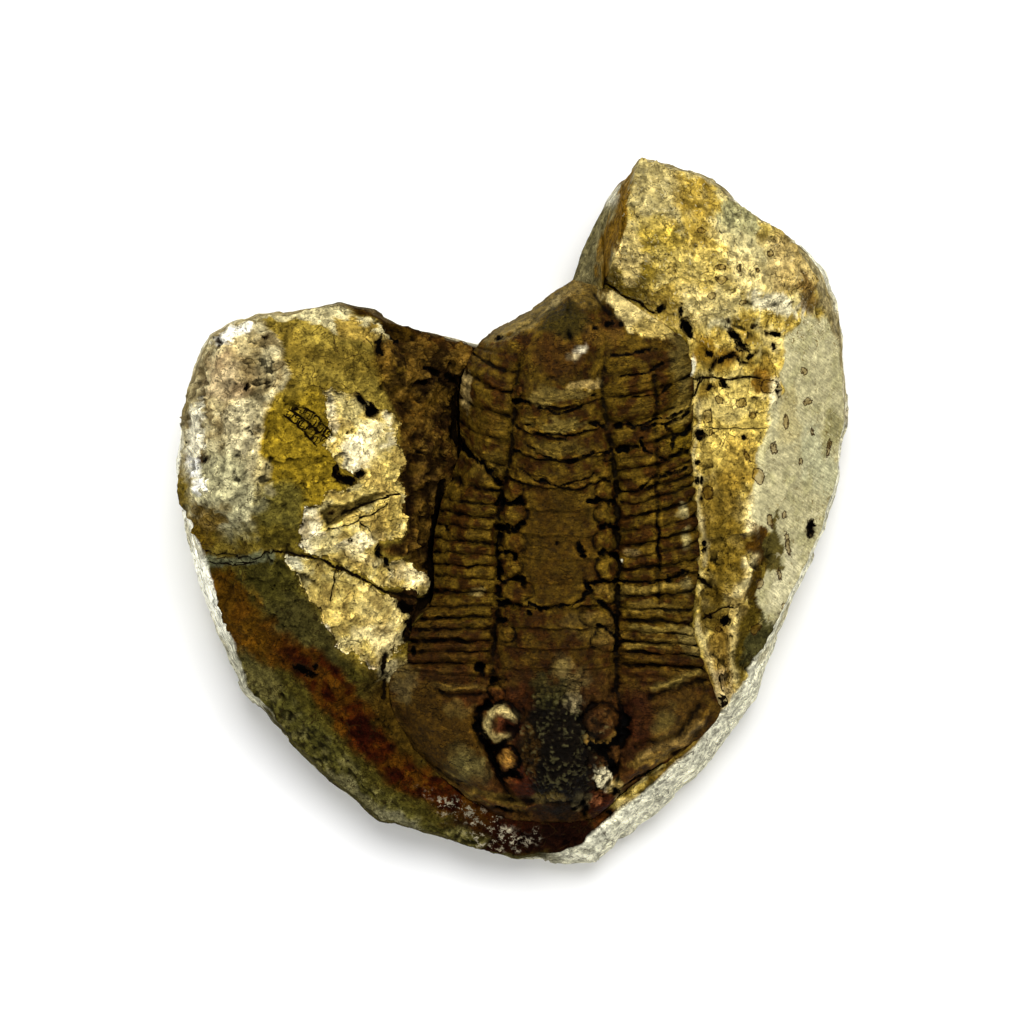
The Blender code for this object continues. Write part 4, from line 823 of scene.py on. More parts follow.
        (30.4, 24.6), (30.9, 22.6), (31, 21.2), (31.6, 19.6), (33, 17.6), (35, 20),
        (34, 26), (28, 29),
    ],
    "notchBrown": [
        (12.2, 34.2), (11.8, 32.4), (11.4, 30), (11.1, 27.4), (9.9, 25.6), (9.4, 22.6),
        (8.6, 23.8), (8.8, 26.6), (10, 30), (11.4, 33.4),
    ],
    "rustLine": [
        (-29.9, -7.6), (-27.9, -9.8), (-24.7, -12.8), (-21.2, -15), (-18.2, -17), (-16.7, -19.8),
        (-14.2, -23.3), (-11.2, -26.3), (-7.2, -28.3), (-3.2, -29.8),
    ],
    # where the olive front slope, its green foot and the ochre band lie
    "frontSlope": [
        (-34, -5.2), (-26, -5.6), (-22.4, -4.4), (-20.6, -7.6), (-18.6, -11.4), (-16.4, -14.4),
        (-13.6, -16.2), (-12.6, -16), (-11.6, -19), (-9.4, -23.4), (-5.6, -27), (2, -30.4),
        (8, -31), (10, -36), (-34, -36),
    ],
    "greenFoot": [
        (-30, -13.4), (-26, -14.6), (-22, -18.5), (-18.4, -22), (-14.6, -27), (-9, -30.6),
        (-2, -32.6), (-6, -38), (-32, -30),
    ],
    "band": [
        (17, 20), (29, 20), (26.5, 10), (24, 0), (24.5, -8), (26, -14),
        (22.5, -21), (12, -31), (9.5, -29.5), (18, -21), (20, -18), (17.6, -8),
        (17.6, 8),
    ],
    "crackFilling": [
        (-32.6, -4.9), (-28.6, -4.95), (-25.4, -4.6), (-24, -4.4),
    ],
    # oval stains, each: x, y, half width, half length, turn, blur, strength, colour
    "lobeStains": [
        (-17.5, 14.2, 8.5, 5, 0, 0.2, 0.9, "#9a8434"), (-21, 5.5, 5.2, 7, 0, 0.25, 0.9, "#92781a"),
        (-19.6, 9.8, 3, 2.4, 20, 0.4, 0.6, "#846c18"), (-23.2, 0.2, 2.6, 2.8, 0, 0.25, 0.9, "#675e26"),
        (-27.6, -2.4, 7, 1.1, 0, 0.25, 0.9, "#6f5f1c"), (-21.5, -2.9, 3, 1.1, 0, 0.25, 0.9, "#5d5018"),
        (-16.2, 14.9, 4.6, 1.4, -10, 0.3, 0.6, "#57440f"), (-22.4, 15.6, 2, 2.8, 0, 0.3, 0.6, "#8a7124"),
    ],
    "plateauStains": [
        (-28.6, 2, 3.2, 4.6, 10, 0.3, 0.8, "#a5a078"), (-27, 8.4, 1.6, 2.6, 0, 0.2, 0.6, "#c9bd92"),
        (-28, 13.4, 2.4, 2.4, 0, 0.3, 0.6, "#a08660"), (-26, 15, 1.6, 2.6, 0, 0.3, 0.5, "#a08a52"),
        (-28, 17.8, 2, 0.7, 25, 0.1, 1, "#fbf6e2"), (-25.4, 11.6, 0.8, 0.8, 0, 0.2, 0.8, "#3a2d12"),
        (-31.6, 7.4, 0.9, 3.4, -3, 0.1, 1, "#ece4c2"), (-31.2, 4, 0.7, 1.8, 15, 0.1, 1, "#fbf8ea"),
        (-30.6, 5.2, 0.5, 0.6, 0, 0.2, 1, "#4e3818"), (-33.2, 6.8, 0.4, 3, 0, 0.3, 0.9, "#b8ac80"),
        (-30.4, -1.6, 1.8, 2.4, -20, 0.3, 0.9, "#70560f"), (-24.8, 4, 0.9, 2.2, 10, 0.2, 0.7, "#b5a878"),
    ],
    "creamStains": [
        (-15.4, 18, 2.6, 0.9, -25, 0.1, 1, "#a88c3c"), (-12.8, 17, 0.9, 0.6, -30, 0.2, 0.9, "#b29a50"),
    ],
    # on the slope down to the fossil: brown stains, and near black ovals round the holes and along the open
    # seam, which are painted shade
    "slopeStainsAndShade": [
        (-8.9, 12.2, 4, 2.2, -15, 0.3, 0.9, "#57400e"), (-7.6, 14.4, 4, 1.6, -20, 0.3, 0.9, "#3f2d0b"),
        (-10, 9, 1.4, 2.6, 0, 0.3, 0.7, "#6e4c14"), (-9, 4.6, 2.6, 3.4, 0, 0.3, 0.7, "#2e1d06"),
        (-7.6, 7.6, 2, 2, 0, 0.3, 0.8, "#2e1d07"), (-9.6, -1.4, 2, 4.2, 0, 0.3, 0.8, "#281806"),
        (-7.9, 3, 0.8, 2, 20, 0.3, 0.7, "#6f5222"), (-12, 14.2, 2, 1.4, -20, 0.3, 0.7, "#6a5216"),
        (-10.4, -9.4, 1.4, 1.6, 0, 0.3, 1, "#2a1a08"), (-8.3, -6, 0.8, 3, 0, 0.3, 0.9, "#1d1206"),
        (-7.4, 13.2, 1.6, 0.7, -30, 0.4, 0.9, "#0d0a05"), (-9.6, 12.4, 1.2, 0.5, -20, 0.5, 0.8, "#120d06"),
    ],
    "frontStains": [
        (-25, -8.6, 4.2, 4.4, 0, 0.25, 0.9, "#4d4618"), (-20.6, -12.6, 3.6, 5, 40, 0.25, 0.8, "#4c4520"),
        (-28.8, -7.6, 1.6, 2.4, 20, 0.3, 0.9, "#5d4206"), (-26.8, -11.4, 2.2, 4.4, 25, 0.3, 1, "#6a4305"),
        (-13, -18.6, 3, 2.8, 30, 0.3, 0.9, "#413310"), (-11, -21.4, 3.2, 4.6, 25, 0.3, 0.9, "#48330a"),
        (-10.6, -16.4, 1.6, 1.6, 0, 0.3, 0.9, "#71623a"), (-12.4, -15.8, 0.9, 1.3, 0, 0.2, 0.9, "#9a8c60"),
        (1.6, -32.2, 9, 2.6, 0, 0.3, 1, "#2a0f04"), (4.8, -33.2, 5, 1.8, 0, 0.3, 0.9, "#1c0b04"),
        (9.4, -31, 1.6, 1.4, 30, 0.2, 0.9, "#4a2409"), (-9.4, -27.6, 2, 0.8, -30, 0.2, 0.8, "#5f3c10"),
    ],
    "greenStains": [
        (-16.6, -28.4, 4.4, 1.2, -32, 0.25, 0.8, "#77704a"), (-25.6, -16, 2.6, 1, -50, 0.3, 0.7, "#6d6332"),
        (-11.4, -31.4, 3.4, 0.9, -20, 0.3, 0.8, "#8a8460"),
    ],
    "bandStains": [
        (22.2, 8, 3.2, 4.6, 0, 0.25, 0.9, "#d8bc5c"), (21, -2.8, 2.8, 6, 0, 0.3, 0.85, "#7a6018"),
        (21.2, 2.2, 2.2, 2.4, 0, 0.3, 0.7, "#8f7328"), (23, 12, 2, 1.8, 0, 0.25, 0.8, "#cbb35e"),
        (24.4, -3, 1.2, 2.6, 0, 0.15, 1, "#54380a"), (26, -3.4, 1.2, 2.7, 0, 0.06, 1, "#4a4220"),
        (24, -7.4, 1.3, 2.4, 10, 0.15, 1, "#4a3708"), (23.2, -13, 1.4, 4.6, -10, 0.15, 1, "#5c4b13"),
        (25.2, -12.6, 1.5, 3.4, -20, 0.12, 1, "#4d4824"), (20.6, -15, 1.4, 4.2, -12, 0.2, 0.9, "#9c7c30"),
        (21.4, -18.8, 0.7, 2.4, -8, 0.15, 0.9, "#bfa66a"), (18, 14.8, 0.3, 1, 10, 0.3, 0.9, "#efe8c6"),
        (18.8, 16.4, 1, 1.4, 30, 0.3, 0.8, "#a8801c"), (20.8, 15.2, 1, 1, -30, 0.4, 0.6, "#8a6414"),
        (22, 15.6, 1, 0.6, 20, 0.4, 0.7, "#6e4a0c"), (24.9, 13, 0.8, 1.3, 10, 0.12, 0.9, "#7a5206"),
        (20.6, 10, 3, 1.2, 0, 0.25, 0.6, "#d0bc74"), (22.6, 5, 1.8, 2.6, 0, 0.3, 0.6, "#a8862c"),
        (19.8, -9.4, 1.2, 2.2, 0, 0.25, 0.8, "#5f480e"), (22.2, -9, 1, 1.6, 0, 0.25, 0.7, "#a78c48"),
        (15.6, -27, 5, 1.4, 38, 0.2, 1, "#6e5518"), (13.4, -28.4, 2.2, 0.8, 30, 0.15, 0.9, "#4a4018"),
        (18.6, -22.4, 1.4, 2.8, -38, 0.2, 0.9, "#8a6c24"), (11.8, -29, 1.2, 0.6, 35, 0.1, 0.9, "#c9b06a"),
    ],
    "tallStains": [
        (14.2, 31.4, 2.8, 3.6, 0, 0.3, 0.8, "#b0a068"), (18.4, 31.2, 1.8, 2.4, 20, 0.5, 0.65, "#a8882c"),
        (18.8, 28, 2.2, 1.8, 0, 0.5, 0.5, "#a88a34"), (22.6, 29.2, 1.8, 2.4, 20, 0.2, 0.9, "#a6a170"),
        (14.6, 26, 3.2, 3, 0, 0.3, 0.7, "#c2a640"), (12, 23.2, 2.6, 2.6, 10, 0.25, 0.9, "#877020"),
        (11.8, 25.4, 1.6, 2.4, 0, 0.2, 0.7, "#d2bc78"), (18.6, 23.8, 3.8, 2.8, 0, 0.3, 0.8, "#d0b65e"),
        (19.6, 20.4, 3.4, 2, 0, 0.3, 0.8, "#dcc880"), (15.4, 20.4, 2.4, 1.4, -30, 0.25, 0.8, "#b89a3e"),
        (24, 24.6, 3, 3, 0, 0.3, 0.7, "#dac888"), (28, 24.6, 2.6, 3.6, 25, 0.3, 0.8, "#ad9458"),
        (26.4, 20.6, 2.8, 1, -15, 0.15, 0.9, "#ddd3aa"), (29.4, 21.8, 1.2, 2, 10, 0.2, 0.8, "#6e4f1c"),
        (22.6, 26.8, 2.8, 1, -38, 0.3, 0.6, "#d6c98e"), (20.4, 18.4, 2, 0.9, 20, 0.2, 0.8, "#d8cc98"),
        (29.2, 18.8, 1, 0.6, 40, 0.2, 0.8, "#c2b898"), (17, 18, 1.2, 1.2, 0, 0.3, 0.8, "#c9ae60"),
    ],
    "sawnStains": [
        (30.6, 5.2, 1.8, 3.6, 20, 0.3, 0.7, "#b3b088"), (31.8, 8.6, 1, 2.2, 0, 0.2, 0.8, "#8f8756"),
        (27.4, -6.6, 1, 3.4, -15, 0.3, 0.7, "#c8bf96"), (27.4, 9.4, 1.4, 3, 0, 0.3, 0.5, "#b5a468"),
        (26, -3.4, 1.15, 2.7, 0, 0.06, 1, "#5a4f22"), (25.6, -13.2, 1.3, 2.8, -20, 0.12, 1, "#4d4824"),
    ],
    "freshStains": [
        (-15.4, 6.2, 2.2, 2.2, 0, 0.2, 1, "#fff0bc"), (-16.4, 9.8, 1.4, 1.6, 0, 0.2, 0.8, "#b9a868"),
        (-17.9, 9.6, 0.5, 2.6, 0, 0.2, 1, "#fbeab4"), (-14, 7.6, 1.2, 1.4, 0, 0.3, 0.9, "#f4e2a4"),
        (-13, 3.6, 1.6, 2.6, 0, 0.3, 0.9, "#cfb660"), (-20, -1, 1.2, 2.6, 15, 0.15, 1, "#fff0bc"),
        (-15.4, -3, 2.2, 0.9, 20, 0.15, 1, "#fdecb4"), (-18.2, -2.6, 1.2, 0.8, 10, 0.2, 0.8, "#cdbc7c"),
        (-12.6, -0.8, 1.8, 2, 0, 0.3, 0.8, "#b49a48"), (-10, -6.4, 2.2, 1, -30, 0.2, 0.9, "#f4e2a4"),
        (-14.4, -4.6, 3, 0.8, -20, 0.2, 0.8, "#d6c486"), (-13, -9.6, 3, 2.6, 0, 0.3, 0.6, "#e2c878"),
        (-17.4, -8.6, 2.2, 2.6, 0, 0.3, 0.6, "#c9b05c"), (-12.6, -13.2, 1.8, 2.2, 0, 0.25, 0.8, "#dcc888"),
        (-14.6, -12.2, 1.6, 1.2, 0, 0.25, 0.8, "#f4e09a"), (-21.6, -5, 1.2, 0.7, -30, 0.2, 0.9, "#d6cfa8"),
    ],
    "frost": [
        (-4.4, -30.6, 4, 1.1, -25, 0.4, 1, "#ffffff"), (-1.2, -32.6, 3, 1.3, -10, 0.4, 1, "#ffffff"),
    ],
    # streaks, each: half width, blur, strength, colour, points
    "bandStreaks": [
        (0.45, 0.2, 0.9, "#efe2ae", [(26.2, 12.8), (25.8, 9.4), (25.2, 6.6)]),
        (0.3, 0.5, 0.8, "#ecdca0", [(24.3, 2.2), (24, -0.4), (23.6, -1.8)]),
        (0.3, 0.5, 0.8, "#e6d492", [(23.9, -4.4), (22.9, -6.6), (22.2, -8.4)]),
        (0.22, 0.5, 0.8, "#d0bc78", [(22.2, -10.4), (22, -14), (22.4, -17.6)]),
        (0.2, 0.3, 0.6, "#b5a878", [(18.7, 12.8), (18.5, 6), (18.9, 0), (19, -5.4)]),
        (0.22, 0.4, 0.6, "#c6b67e", [(18.4, -10.6), (19.4, -13.6), (20.6, -17), (21.3, -19.6)]),
        (0.4, 0.5, 0.6, "#a3906a", [(19.4, -19.4), (20.6, -18), (20.9, -16)]),
    ],
    "freshStreaks": [
        (0.45, 0.2, 1, "#fff2cc", [(-19.4, -11), (-17.4, -13.4), (-15.2, -15.2), (-13.6, -16.2)]),
        (0.35, 0.2, 0.9, "#f4ecca", [(-21, -3.2), (-21.2, -0.8), (-20.2, 0.6)]),
        (0.3, 0.2, 0.8, "#e9dcb0", [(-12.2, 9.8), (-12, 7.4), (-12.6, 6.6)]),
    ],
}


def stoneOutlines():
    # widest line and rim as points all round; the rim lies inwards of the widest line
    # by the wall's width, square to a chord 0.8 mm to either side
    table = np.asarray(stone["rim"] + stone["rim"][:1], float)
    length = np.concatenate([[0.0], np.cumsum(np.hypot(*np.diff(table[:, :2], axis=0).T))])
    at = np.linspace(0.0, length[-1], 2400, endpoint=False)
    x, y, wall, rimZ, wideZ = (np.interp(at, length, column) for column in table.T)
    ahead, behind = (at + 0.8) % length[-1], (at - 0.8) % length[-1]
    alongX = np.interp(ahead, length, table[:, 0]) - np.interp(behind, length, table[:, 0])
    alongY = np.interp(ahead, length, table[:, 1]) - np.interp(behind, length, table[:, 1])
    norm = np.hypot(alongX, alongY)
    rimX, rimY = x - alongY / norm * wall, y + alongX / norm * wall
    return x, y, rimX, rimY, rimZ, wideZ


def polar(x, y):
    # turn and reach of a place about the stone's centre
    centreX, centreY = stone["centre"]
    return np.arctan2(y - centreY, x - centreX) % (2.0 * math.pi), np.hypot(x - centreX, y - centreY)


def around(turn, ownTurn, values):
    # values given at an outline's own turns, read at other turns
    order = np.argsort(ownTurn)
    return np.interp(turn, ownTurn[order], values[order], period=2.0 * math.pi)


def bumpSum(x, y, table):
    # round hills of one plan size each: height times a bell of the distance
    return sum(h * np.exp(-((x - bx) ** 2 + (y - by) ** 2) / (reach * reach)) for bx, by, reach, h in table)


def stoneGrid():
    # rings of points about the centre: out over the bed, up its wall, out over the upper face by
    # even shares of the way to the rim, down the wall, and in under the foot
    centreX, centreY = stone["centre"]
    x, y, rimX, rimY, rimZ, wideZ = stoneOutlines()
    wideTurn, wideReach = polar(x, y)
    rimTurn, rimReach = polar(rimX, rimY)
    bedTurn, bedReach = polar(edgeRing[:, 0], edgeRing[:, 1])

    even = np.linspace(0.0, 2.0 * math.pi, 6000, endpoint=False)
    inner, outer = around(even, bedTurn, bedReach), around(even, rimTurn, rimReach)
    middle = inner + 0.75 * (outer - inner)
    stepX, stepY = np.gradient(middle * np.cos(even)), np.gradient(middle * np.sin(even))
    walked = np.cumsum(np.hypot(stepX, stepY))
    turn = np.interp(np.linspace(walked[0], walked[-1], stone["around"], endpoint=False), walked, even)

    ray = np.stack([np.cos(turn), np.sin(turn)])
    wide, rim = around(turn, wideTurn, wideReach), around(turn, rimTurn, rimReach)
    ragged = np.stack([wide * ray[0], wide * ray[1], 0.0 * turn], axis=1)
    chips = fractal(ragged, 3.0, 4, 11) * stone["rimChips"]
    wide, rim = wide + chips - 0.05, rim + chips - 0.05
    foot = around(turn, wideTurn, wideZ)
    edge = around(turn, bedTurn, bedReach)
    margin = around(turn, bedTurn, edgeRing[:, 2])
    edgeX, edgeY = centreX + edge * ray[0], centreY + edge * ray[1]
    seam = bumpSum(edgeX, edgeY, stone["seams"])
    closed = 1.0 - ease(0.06, 0.2, seam)        # where the stone has grown fast to the fossil
    inner = np.minimum(edge + seam - 0.4 * closed, rim - 0.35)

    spots = stone["spots"] + [(row[0], row[1], row[3]) for row in stone["rim"]]
    bed, top = stone["bedRings"], stone["topRings"]
    wall, under = stone["wallRings"], stone["footRings"]
    share = np.linspace(0.0, 1.0, top)[:, None]
    reach = inner + (rim - inner) * share
    topX, topY = centreX + reach * ray[0], centreY + reach * ray[1]
    flatX, flatY = topX.ravel(), topY.ravel()
    topZ = thinPlate(spots, flatX, flatY, 0.4).reshape(topX.shape)
    ledge = margin + bumpSum(edgeX, edgeY, stone["ledges"])
    away = reach - edge
    blend = (1.0 - ease(0.0, 2.6, away)) * (edge < rim - 0.5)
    topZ = topZ + (np.minimum(ledge, topZ + 4.0) - topZ) * blend
    topZ = topZ - 0.9 * closed * (1.0 - ease(-0.4, 0.15, away))
    topZ = topZ - 0.5 * (1 - closed) * (1.0 - ease(0.0, 0.5, away - seam))
    topZ = np.minimum(topZ, np.where(away < -0.1, margin - 0.4, 99.0))

    # bed: a flat slope under the fossil, and its wall up to the stone's face
    bedZ = fossil["bedHeight"] + fossil["bedSlope"] * (centreY + inner * ray[1]) - 0.1
    bedShare = np.concatenate([np.linspace(0.35, 1.0, 2), np.ones(bed - 2)])[:, None]
    bedX, bedY = centreX + inner * ray[0] * bedShare, centreY + inner * ray[1] * bedShare
    climb = np.concatenate([np.zeros(2), np.linspace(0.0, 1.0, bed)[1:-1]])[:, None]
    lowZ = np.minimum(fossil["bedHeight"] + fossil["bedSlope"] * bedY - 0.1, topZ[0] - 0.2)
    bedZ = lowZ + (topZ[0] - lowZ) * climb

    # wall: from the rim out and down to the widest line; foot: a quarter round to the base
    drop = np.linspace(0.0, 1.0, wall + 1)[1:, None]
    wallReach = rim + (wide - rim) * np.sin(drop * math.pi / 2.0) ** 0.8
    wallZ = topZ[-1] + (foot - topZ[-1]) * drop
    turnIn = np.linspace(0.0, math.pi / 2.0, under + 1)[1:, None]
    footReach = wide - stone["baseInset"] * (1.0 - np.cos(turnIn))
    footZ = foot * (1.0 - np.sin(turnIn))
    baseReach = footReach[-1] * np.array([0.6, 0.2])[:, None]
    low = np.concatenate([wallReach, footReach, baseReach])
    lowZAll = np.concatenate([wallZ, footZ, np.zeros((2, len(turn)))])
    grid = np.stack([
        np.concatenate([bedX, topX, centreX + low * ray[0]]),
        np.concatenate([bedY, topY, centreY + low * ray[1]]),
        np.concatenate([bedZ, topZ, lowZAll]),
    ], axis=-1)
    ringKind = np.concatenate([np.zeros(bed), np.ones(top), np.full(wall, 2.0), np.full(under + 2, 3.0)])
    below = np.full((wall + under + 2, len(turn)), 9.0)
    return grid, ringKind, np.concatenate([np.full((bed, len(turn)), -1.0), away, below])


def stoneRelief(grid, ringKind, away):
    # broken stone on the smooth shape: flakes and noise pushed out along the normals, then scars,
    # cracks and holes sunk straight down, each with the named outline that the table gives
    kind = np.repeat(ringKind, grid.shape[1])
    flat = grid.reshape(-1, 3)
    x, y, z = flat.T
    warpX, warpY = fractal(flat, 2.4, 5, 21) * 0.6, fractal(flat, 2.4, 5, 31) * 0.6
    wx, wy = x + warpX, y + warpY
    depth = {name: patchDepth(wx, wy, stone[name]) for name in (
        "whiteScar", "fallenScar", "shaleBand", "roughPlateau", "creamBevel", "farRim", "sawnFace",
        "topFace", "notchBrown", "brownSlope")}
    onTop = kind == 1.0
    sawn = np.where(onTop, ease(-0.3, 0.3, np.maximum(depth["sawnFace"], depth["topFace"])), 0.0)
    rough = np.where(onTop, ease(-0.5, 0.8, np.maximum(depth["roughPlateau"], depth["brownSlope"])), 0.0)
    front = ease(-8.0, -20.0, y) * (x < 18.0)
    level = flakes(flat + 0.5 * np.stack([warpY, -warpX, warpX], axis=1), 1.4, 61)[0]
    ridges = 1.0 - 2.0 * np.abs(fractal(flat, 1.7, 4, 56))
    lift = 0.5 * fractal(flat, 7.0, 2, 41) + 0.16 * fractal(flat, 2.2, 5, 51)
    lift = lift + 0.08 * fractal(flat, 0.8, 3, 53)
    bent = flat + np.stack([warpX, warpY, -warpX], axis=1)
    large = flakes(bent, 4.6, 66)[0]
    lift = lift + (stone["smallFlakes"] + 0.16 * rough) * level + stone["largeFlakes"] * large
    lift = lift + stone["middleFlakes"] * flakes(bent, 2.6, 76)[0] + 0.2 * rough * ridges
    lift = lift * (1.0 - 0.88 * sawn) * (1.0 - 0.35 * front * onTop)
    nearFossil = np.where(onTop, 1.0 - ease(0.2, 1.4, away.ravel()), 0.0)
    lift = lift * (1.0 - 0.6 * nearFossil)
    calm = 0.4 * fractal(flat, 6.0, 3, 41) + 0.35 * large + 0.05 * level
    lift = np.where(kind > 1.0, 0.7 * calm * ease(0.0, 1.6, z), lift)
    lift = lift * (kind > 0.0)
    normal = gridNormals(grid, True).reshape(-1, 3)
    upward = -1.0 if normal[:, 2][onTop].mean() < 0.0 else 1.0
    flat = flat + normal * upward * lift[:, None]

    scar = np.where(onTop, np.maximum(depth["whiteScar"], depth["fallenScar"]), -9.0)
    hole = np.where(onTop, ovalDepth(x + 0.45 * warpX, y + 0.45 * warpY, stone["holes"]), -9.0)
    socket = np.where(onTop, ovalDepth(x + 0.2 * warpX, y + 0.2 * warpY, stone["sockets"]) - 0.05, -9.0)
    down = stone["scarDepth"] * ease(-0.05, 0.22, scar) - 0.2 * ease(-0.5, 0.0, scar) * (scar < 0.0)
    down = down + stone["shaleDepth"] * ease(0.0, 0.3, depth["shaleBand"])
    down = down + stone["holeDepth"] * ease(-0.15, 0.35, hole)
    down = down + stone["socketDepth"] * ease(-0.1, 0.12, socket)
    crackNear, crackSide = np.full(len(x), 9.0), np.zeros(len(x))
    crackHalf = np.full(len(x), 0.05)
    cx, cy = x + 0.4 * warpX, y + 0.4 * warpY
    for half, deep, points in stone["cracks"]:
        far, sign = lineReach(cx, cy, points)
        down = down + deep * np.exp(-((far / (half + 0.16)) ** 2))
        closer = far < crackNear
        crackNear = np.where(closer, far, crackNear)
        crackSide = np.where(closer, far * sign, crackSide)
        crackHalf = np.where(closer, half, crackHalf)
    for half, height, points in stone["folds"]:
        down = down - height * np.exp(-((lineReach(cx, cy, points)[0] / half) ** 2))
    crackNear = np.where(onTop, crackNear, 9.0)
    flat[:, 2] -= np.where(onTop, down, 0.0)
    flat[:, 2] = np.where(kind == 3.0, np.maximum(flat[:, 2], 0.0), flat[:, 2])
    shells = ease(7.0, 10.0, x) * ease(14.0, 18.0, y) + ease(-0.2, 0.4, depth["sawnFace"])
    attributes = {
        "crack": np.stack([crackSide, crackNear, crackHalf], axis=1),
        "hole": hole, "socket": socket, "scar": scar, "sawn": sawn,
        "shells": np.where(onTop, shells, 0.0),
    }
    return flat, kind, depth, attributes


def stoneColours(flat, kind, depth):
    # pigments laid over each other: the stone's own ochre, then each weathered, stained, broken or
    # sawn part, bounded by its outline, by a line or by an oval, all made ragged by noise; the near
    # black in the gap under the fossil and beside its seams is painted shade
    x, y, z = flat.T
    wx, wy = x + fractal(flat, 3.6, 5, 121) * 0.75, y + fractal(flat, 3.6, 5, 131) * 0.75
    mottle, fine = fractal(flat, 2.0, 5, 141), fractal(flat, 0.7, 3, 151)
    ragged = fractal(flat, 1.5, 4, 161) * 0.6

    def stains(colour, table):
        return layStains(colour, wx, wy, ragged, table)

    colour = np.tile(pigment("#907a2c"), (len(x), 1))
    colour = paint(colour, 0.8 * ease(0.0, 0.35, mottle), "#5d4a12")
    colour = stains(colour, stone["lobeStains"])
    colour = paint(colour, ease(-0.1, 0.15, depth["roughPlateau"]), "#b0a070")
    plateau = ease(0.0, 0.3, depth["roughPlateau"])
    colour = paint(colour, 0.75 * plateau * ease(0.0, 0.22, mottle), "#c8bb8c")
    colour = paint(colour, 0.75 * plateau * ease(0.05, 0.25, -mottle), "#6d5a34")
    colour = stains(colour, stone["plateauStains"])
    colour = paint(colour, ease(-0.1, 0.1, depth["creamBevel"]), "#c4b784")
    colour = stains(colour, stone["creamStains"])
    colour = paint(colour, ease(-0.2, 0.2, depth["farRim"]), "#443008")
    colour = paint(colour, 0.8 * ease(0.0, 0.3, depth["farRim"]) * ease(0.0, 0.3, mottle), "#2c1804")

    brown = ease(-0.3, 0.3, depth["brownSlope"])
    colour = paint(colour, brown, "#4a2f0c")
    colour = stains(colour, stone["slopeStainsAndShade"])
    colour = paint(colour, 0.9 * brown * ease(0.02, 0.22, mottle), "#6b4e18")
    colour = paint(colour, 0.7 * brown * ease(0.1, 0.3, fine), "#7a5c22")
    colour = paint(colour, 0.8 * brown * ease(0.06, 0.28, -mottle), "#1e1205")

    front = ease(-0.6, 0.6, patchDepth(wx, wy, stone["frontSlope"]))
    colour = paint(colour, front, "#504717")
    colour = stains(colour, stone["frontStains"])
    outward = lineReach(wx, wy, stone["rustLine"])[0] + ragged
    rusty = (1.0 - ease(0.9, 2.4, outward)) * front
    colour = paint(colour, rusty, "#573a08")
    deepRust = ease(-25.5, -20.5, wx)
    colour = paint(colour, 0.9 * rusty * deepRust, "#401402")
    colour = paint(colour, 0.8 * rusty * ease(0.0, 0.3, mottle), "#5e3a08")
    colour = paint(colour, 0.9 * rusty * deepRust * ease(0.1, 0.3, -mottle), "#230702")
    green = ease(-0.2, 0.8, patchDepth(wx, wy, stone["greenFoot"]))
    colour = paint(colour, green, "#565020")
    colour = paint(colour, 0.85 * green * ease(0.05, 0.3, mottle), "#7d7440")
    colour = paint(colour, 0.9 * green * ease(0.1, 0.3, -fine), "#1c1908")
    colour = stains(colour, stone["greenStains"])
    alongCrack = lineReach(0.15 * wx + 0.85 * x, 0.15 * wy + 0.85 * y, stone["crackFilling"])[0]
    filling = 1.0 - ease(0.42, 0.52, alongCrack)
    colour = paint(colour, 0.9 * filling, "#6f7150")

    band = patchDepth(wx, wy, stone["band"])
    colour = paint(colour, ease(-0.3, 0.3, band), "#bfa44c")
    colour = paint(colour, 0.7 * ease(-0.3, 0.3, band) * ease(0.05, 0.3, mottle), "#dcc67a")
    colour = paint(colour, 0.7 * ease(-0.3, 0.3, band) * ease(0.1, 0.35, -mottle), "#8c6c1c")
    colour = stains(colour, stone["bandStains"])
    colour = layStreaks(colour, wx, wy, ragged, stone["bandStreaks"])

    tall = ease(-0.8, 0.4, wy - 18.6 + 0.25 * (26.0 - wx) * (wx > 26.0)) * ease(8.0, 9.5, x) * (kind == 1.0)
    colour = paint(colour, tall, "#c2a850")
    colour = paint(colour, tall * 0.75 * ease(0.05, 0.3, mottle), "#dccb88")
    colour = paint(colour, tall * 0.6 * ease(0.1, 0.3, -mottle), "#94761f")
    colour = np.where(tall[:, None] > 0.5, stains(colour, stone["tallStains"]), colour)

    sawn = ease(-0.08, 0.08, np.maximum(depth["sawnFace"], depth["topFace"]))
    colour = paint(colour, sawn, "#b8af82")
    colour = paint(colour, 0.6 * sawn * ease(0.0, 0.4, mottle), "#a49d6c")
    colour = stains(colour, stone["sawnStains"])

    # the bed's wall, down in the gap under the fossil's edge, painted near black as its shade
    colour = paint(colour, 1.0 * (kind == 0.0), "#1c1104")
    wall = ease(1.5, 2.0, kind)
    colour = paint(colour, wall, "#dcd8bc")
    colour = paint(colour, 0.3 * wall * ease(0.1, 0.4, mottle), "#b4b08c")
    colour = paint(colour, wall * ease(-24.0, -30.0, x), "#fbf9e4")
    patches = 0.6 * wall * ease(0.1, 0.5, fractal(flat, 6.0, 3, 171)) * ease(25.0, 10.0, np.abs(y))
    colour = paint(colour, patches, "#a39560")
    stained = ease(-17.0, -22.0, wy + 3.0 * mottle) * (1.0 - ease(2.0, 6.0, wx))
    stained = stained * ease(1.8, 4.2, z + 3.0 * mottle)
    colour = paint(colour, wall * stained, "#4f4822")
    foot = 0.6 * wall * ease(-9.0, -15.0, y) * (1.0 - ease(0.0, 6.0, x)) * (1.0 - stained)
    colour = paint(colour, foot, "#837f60")
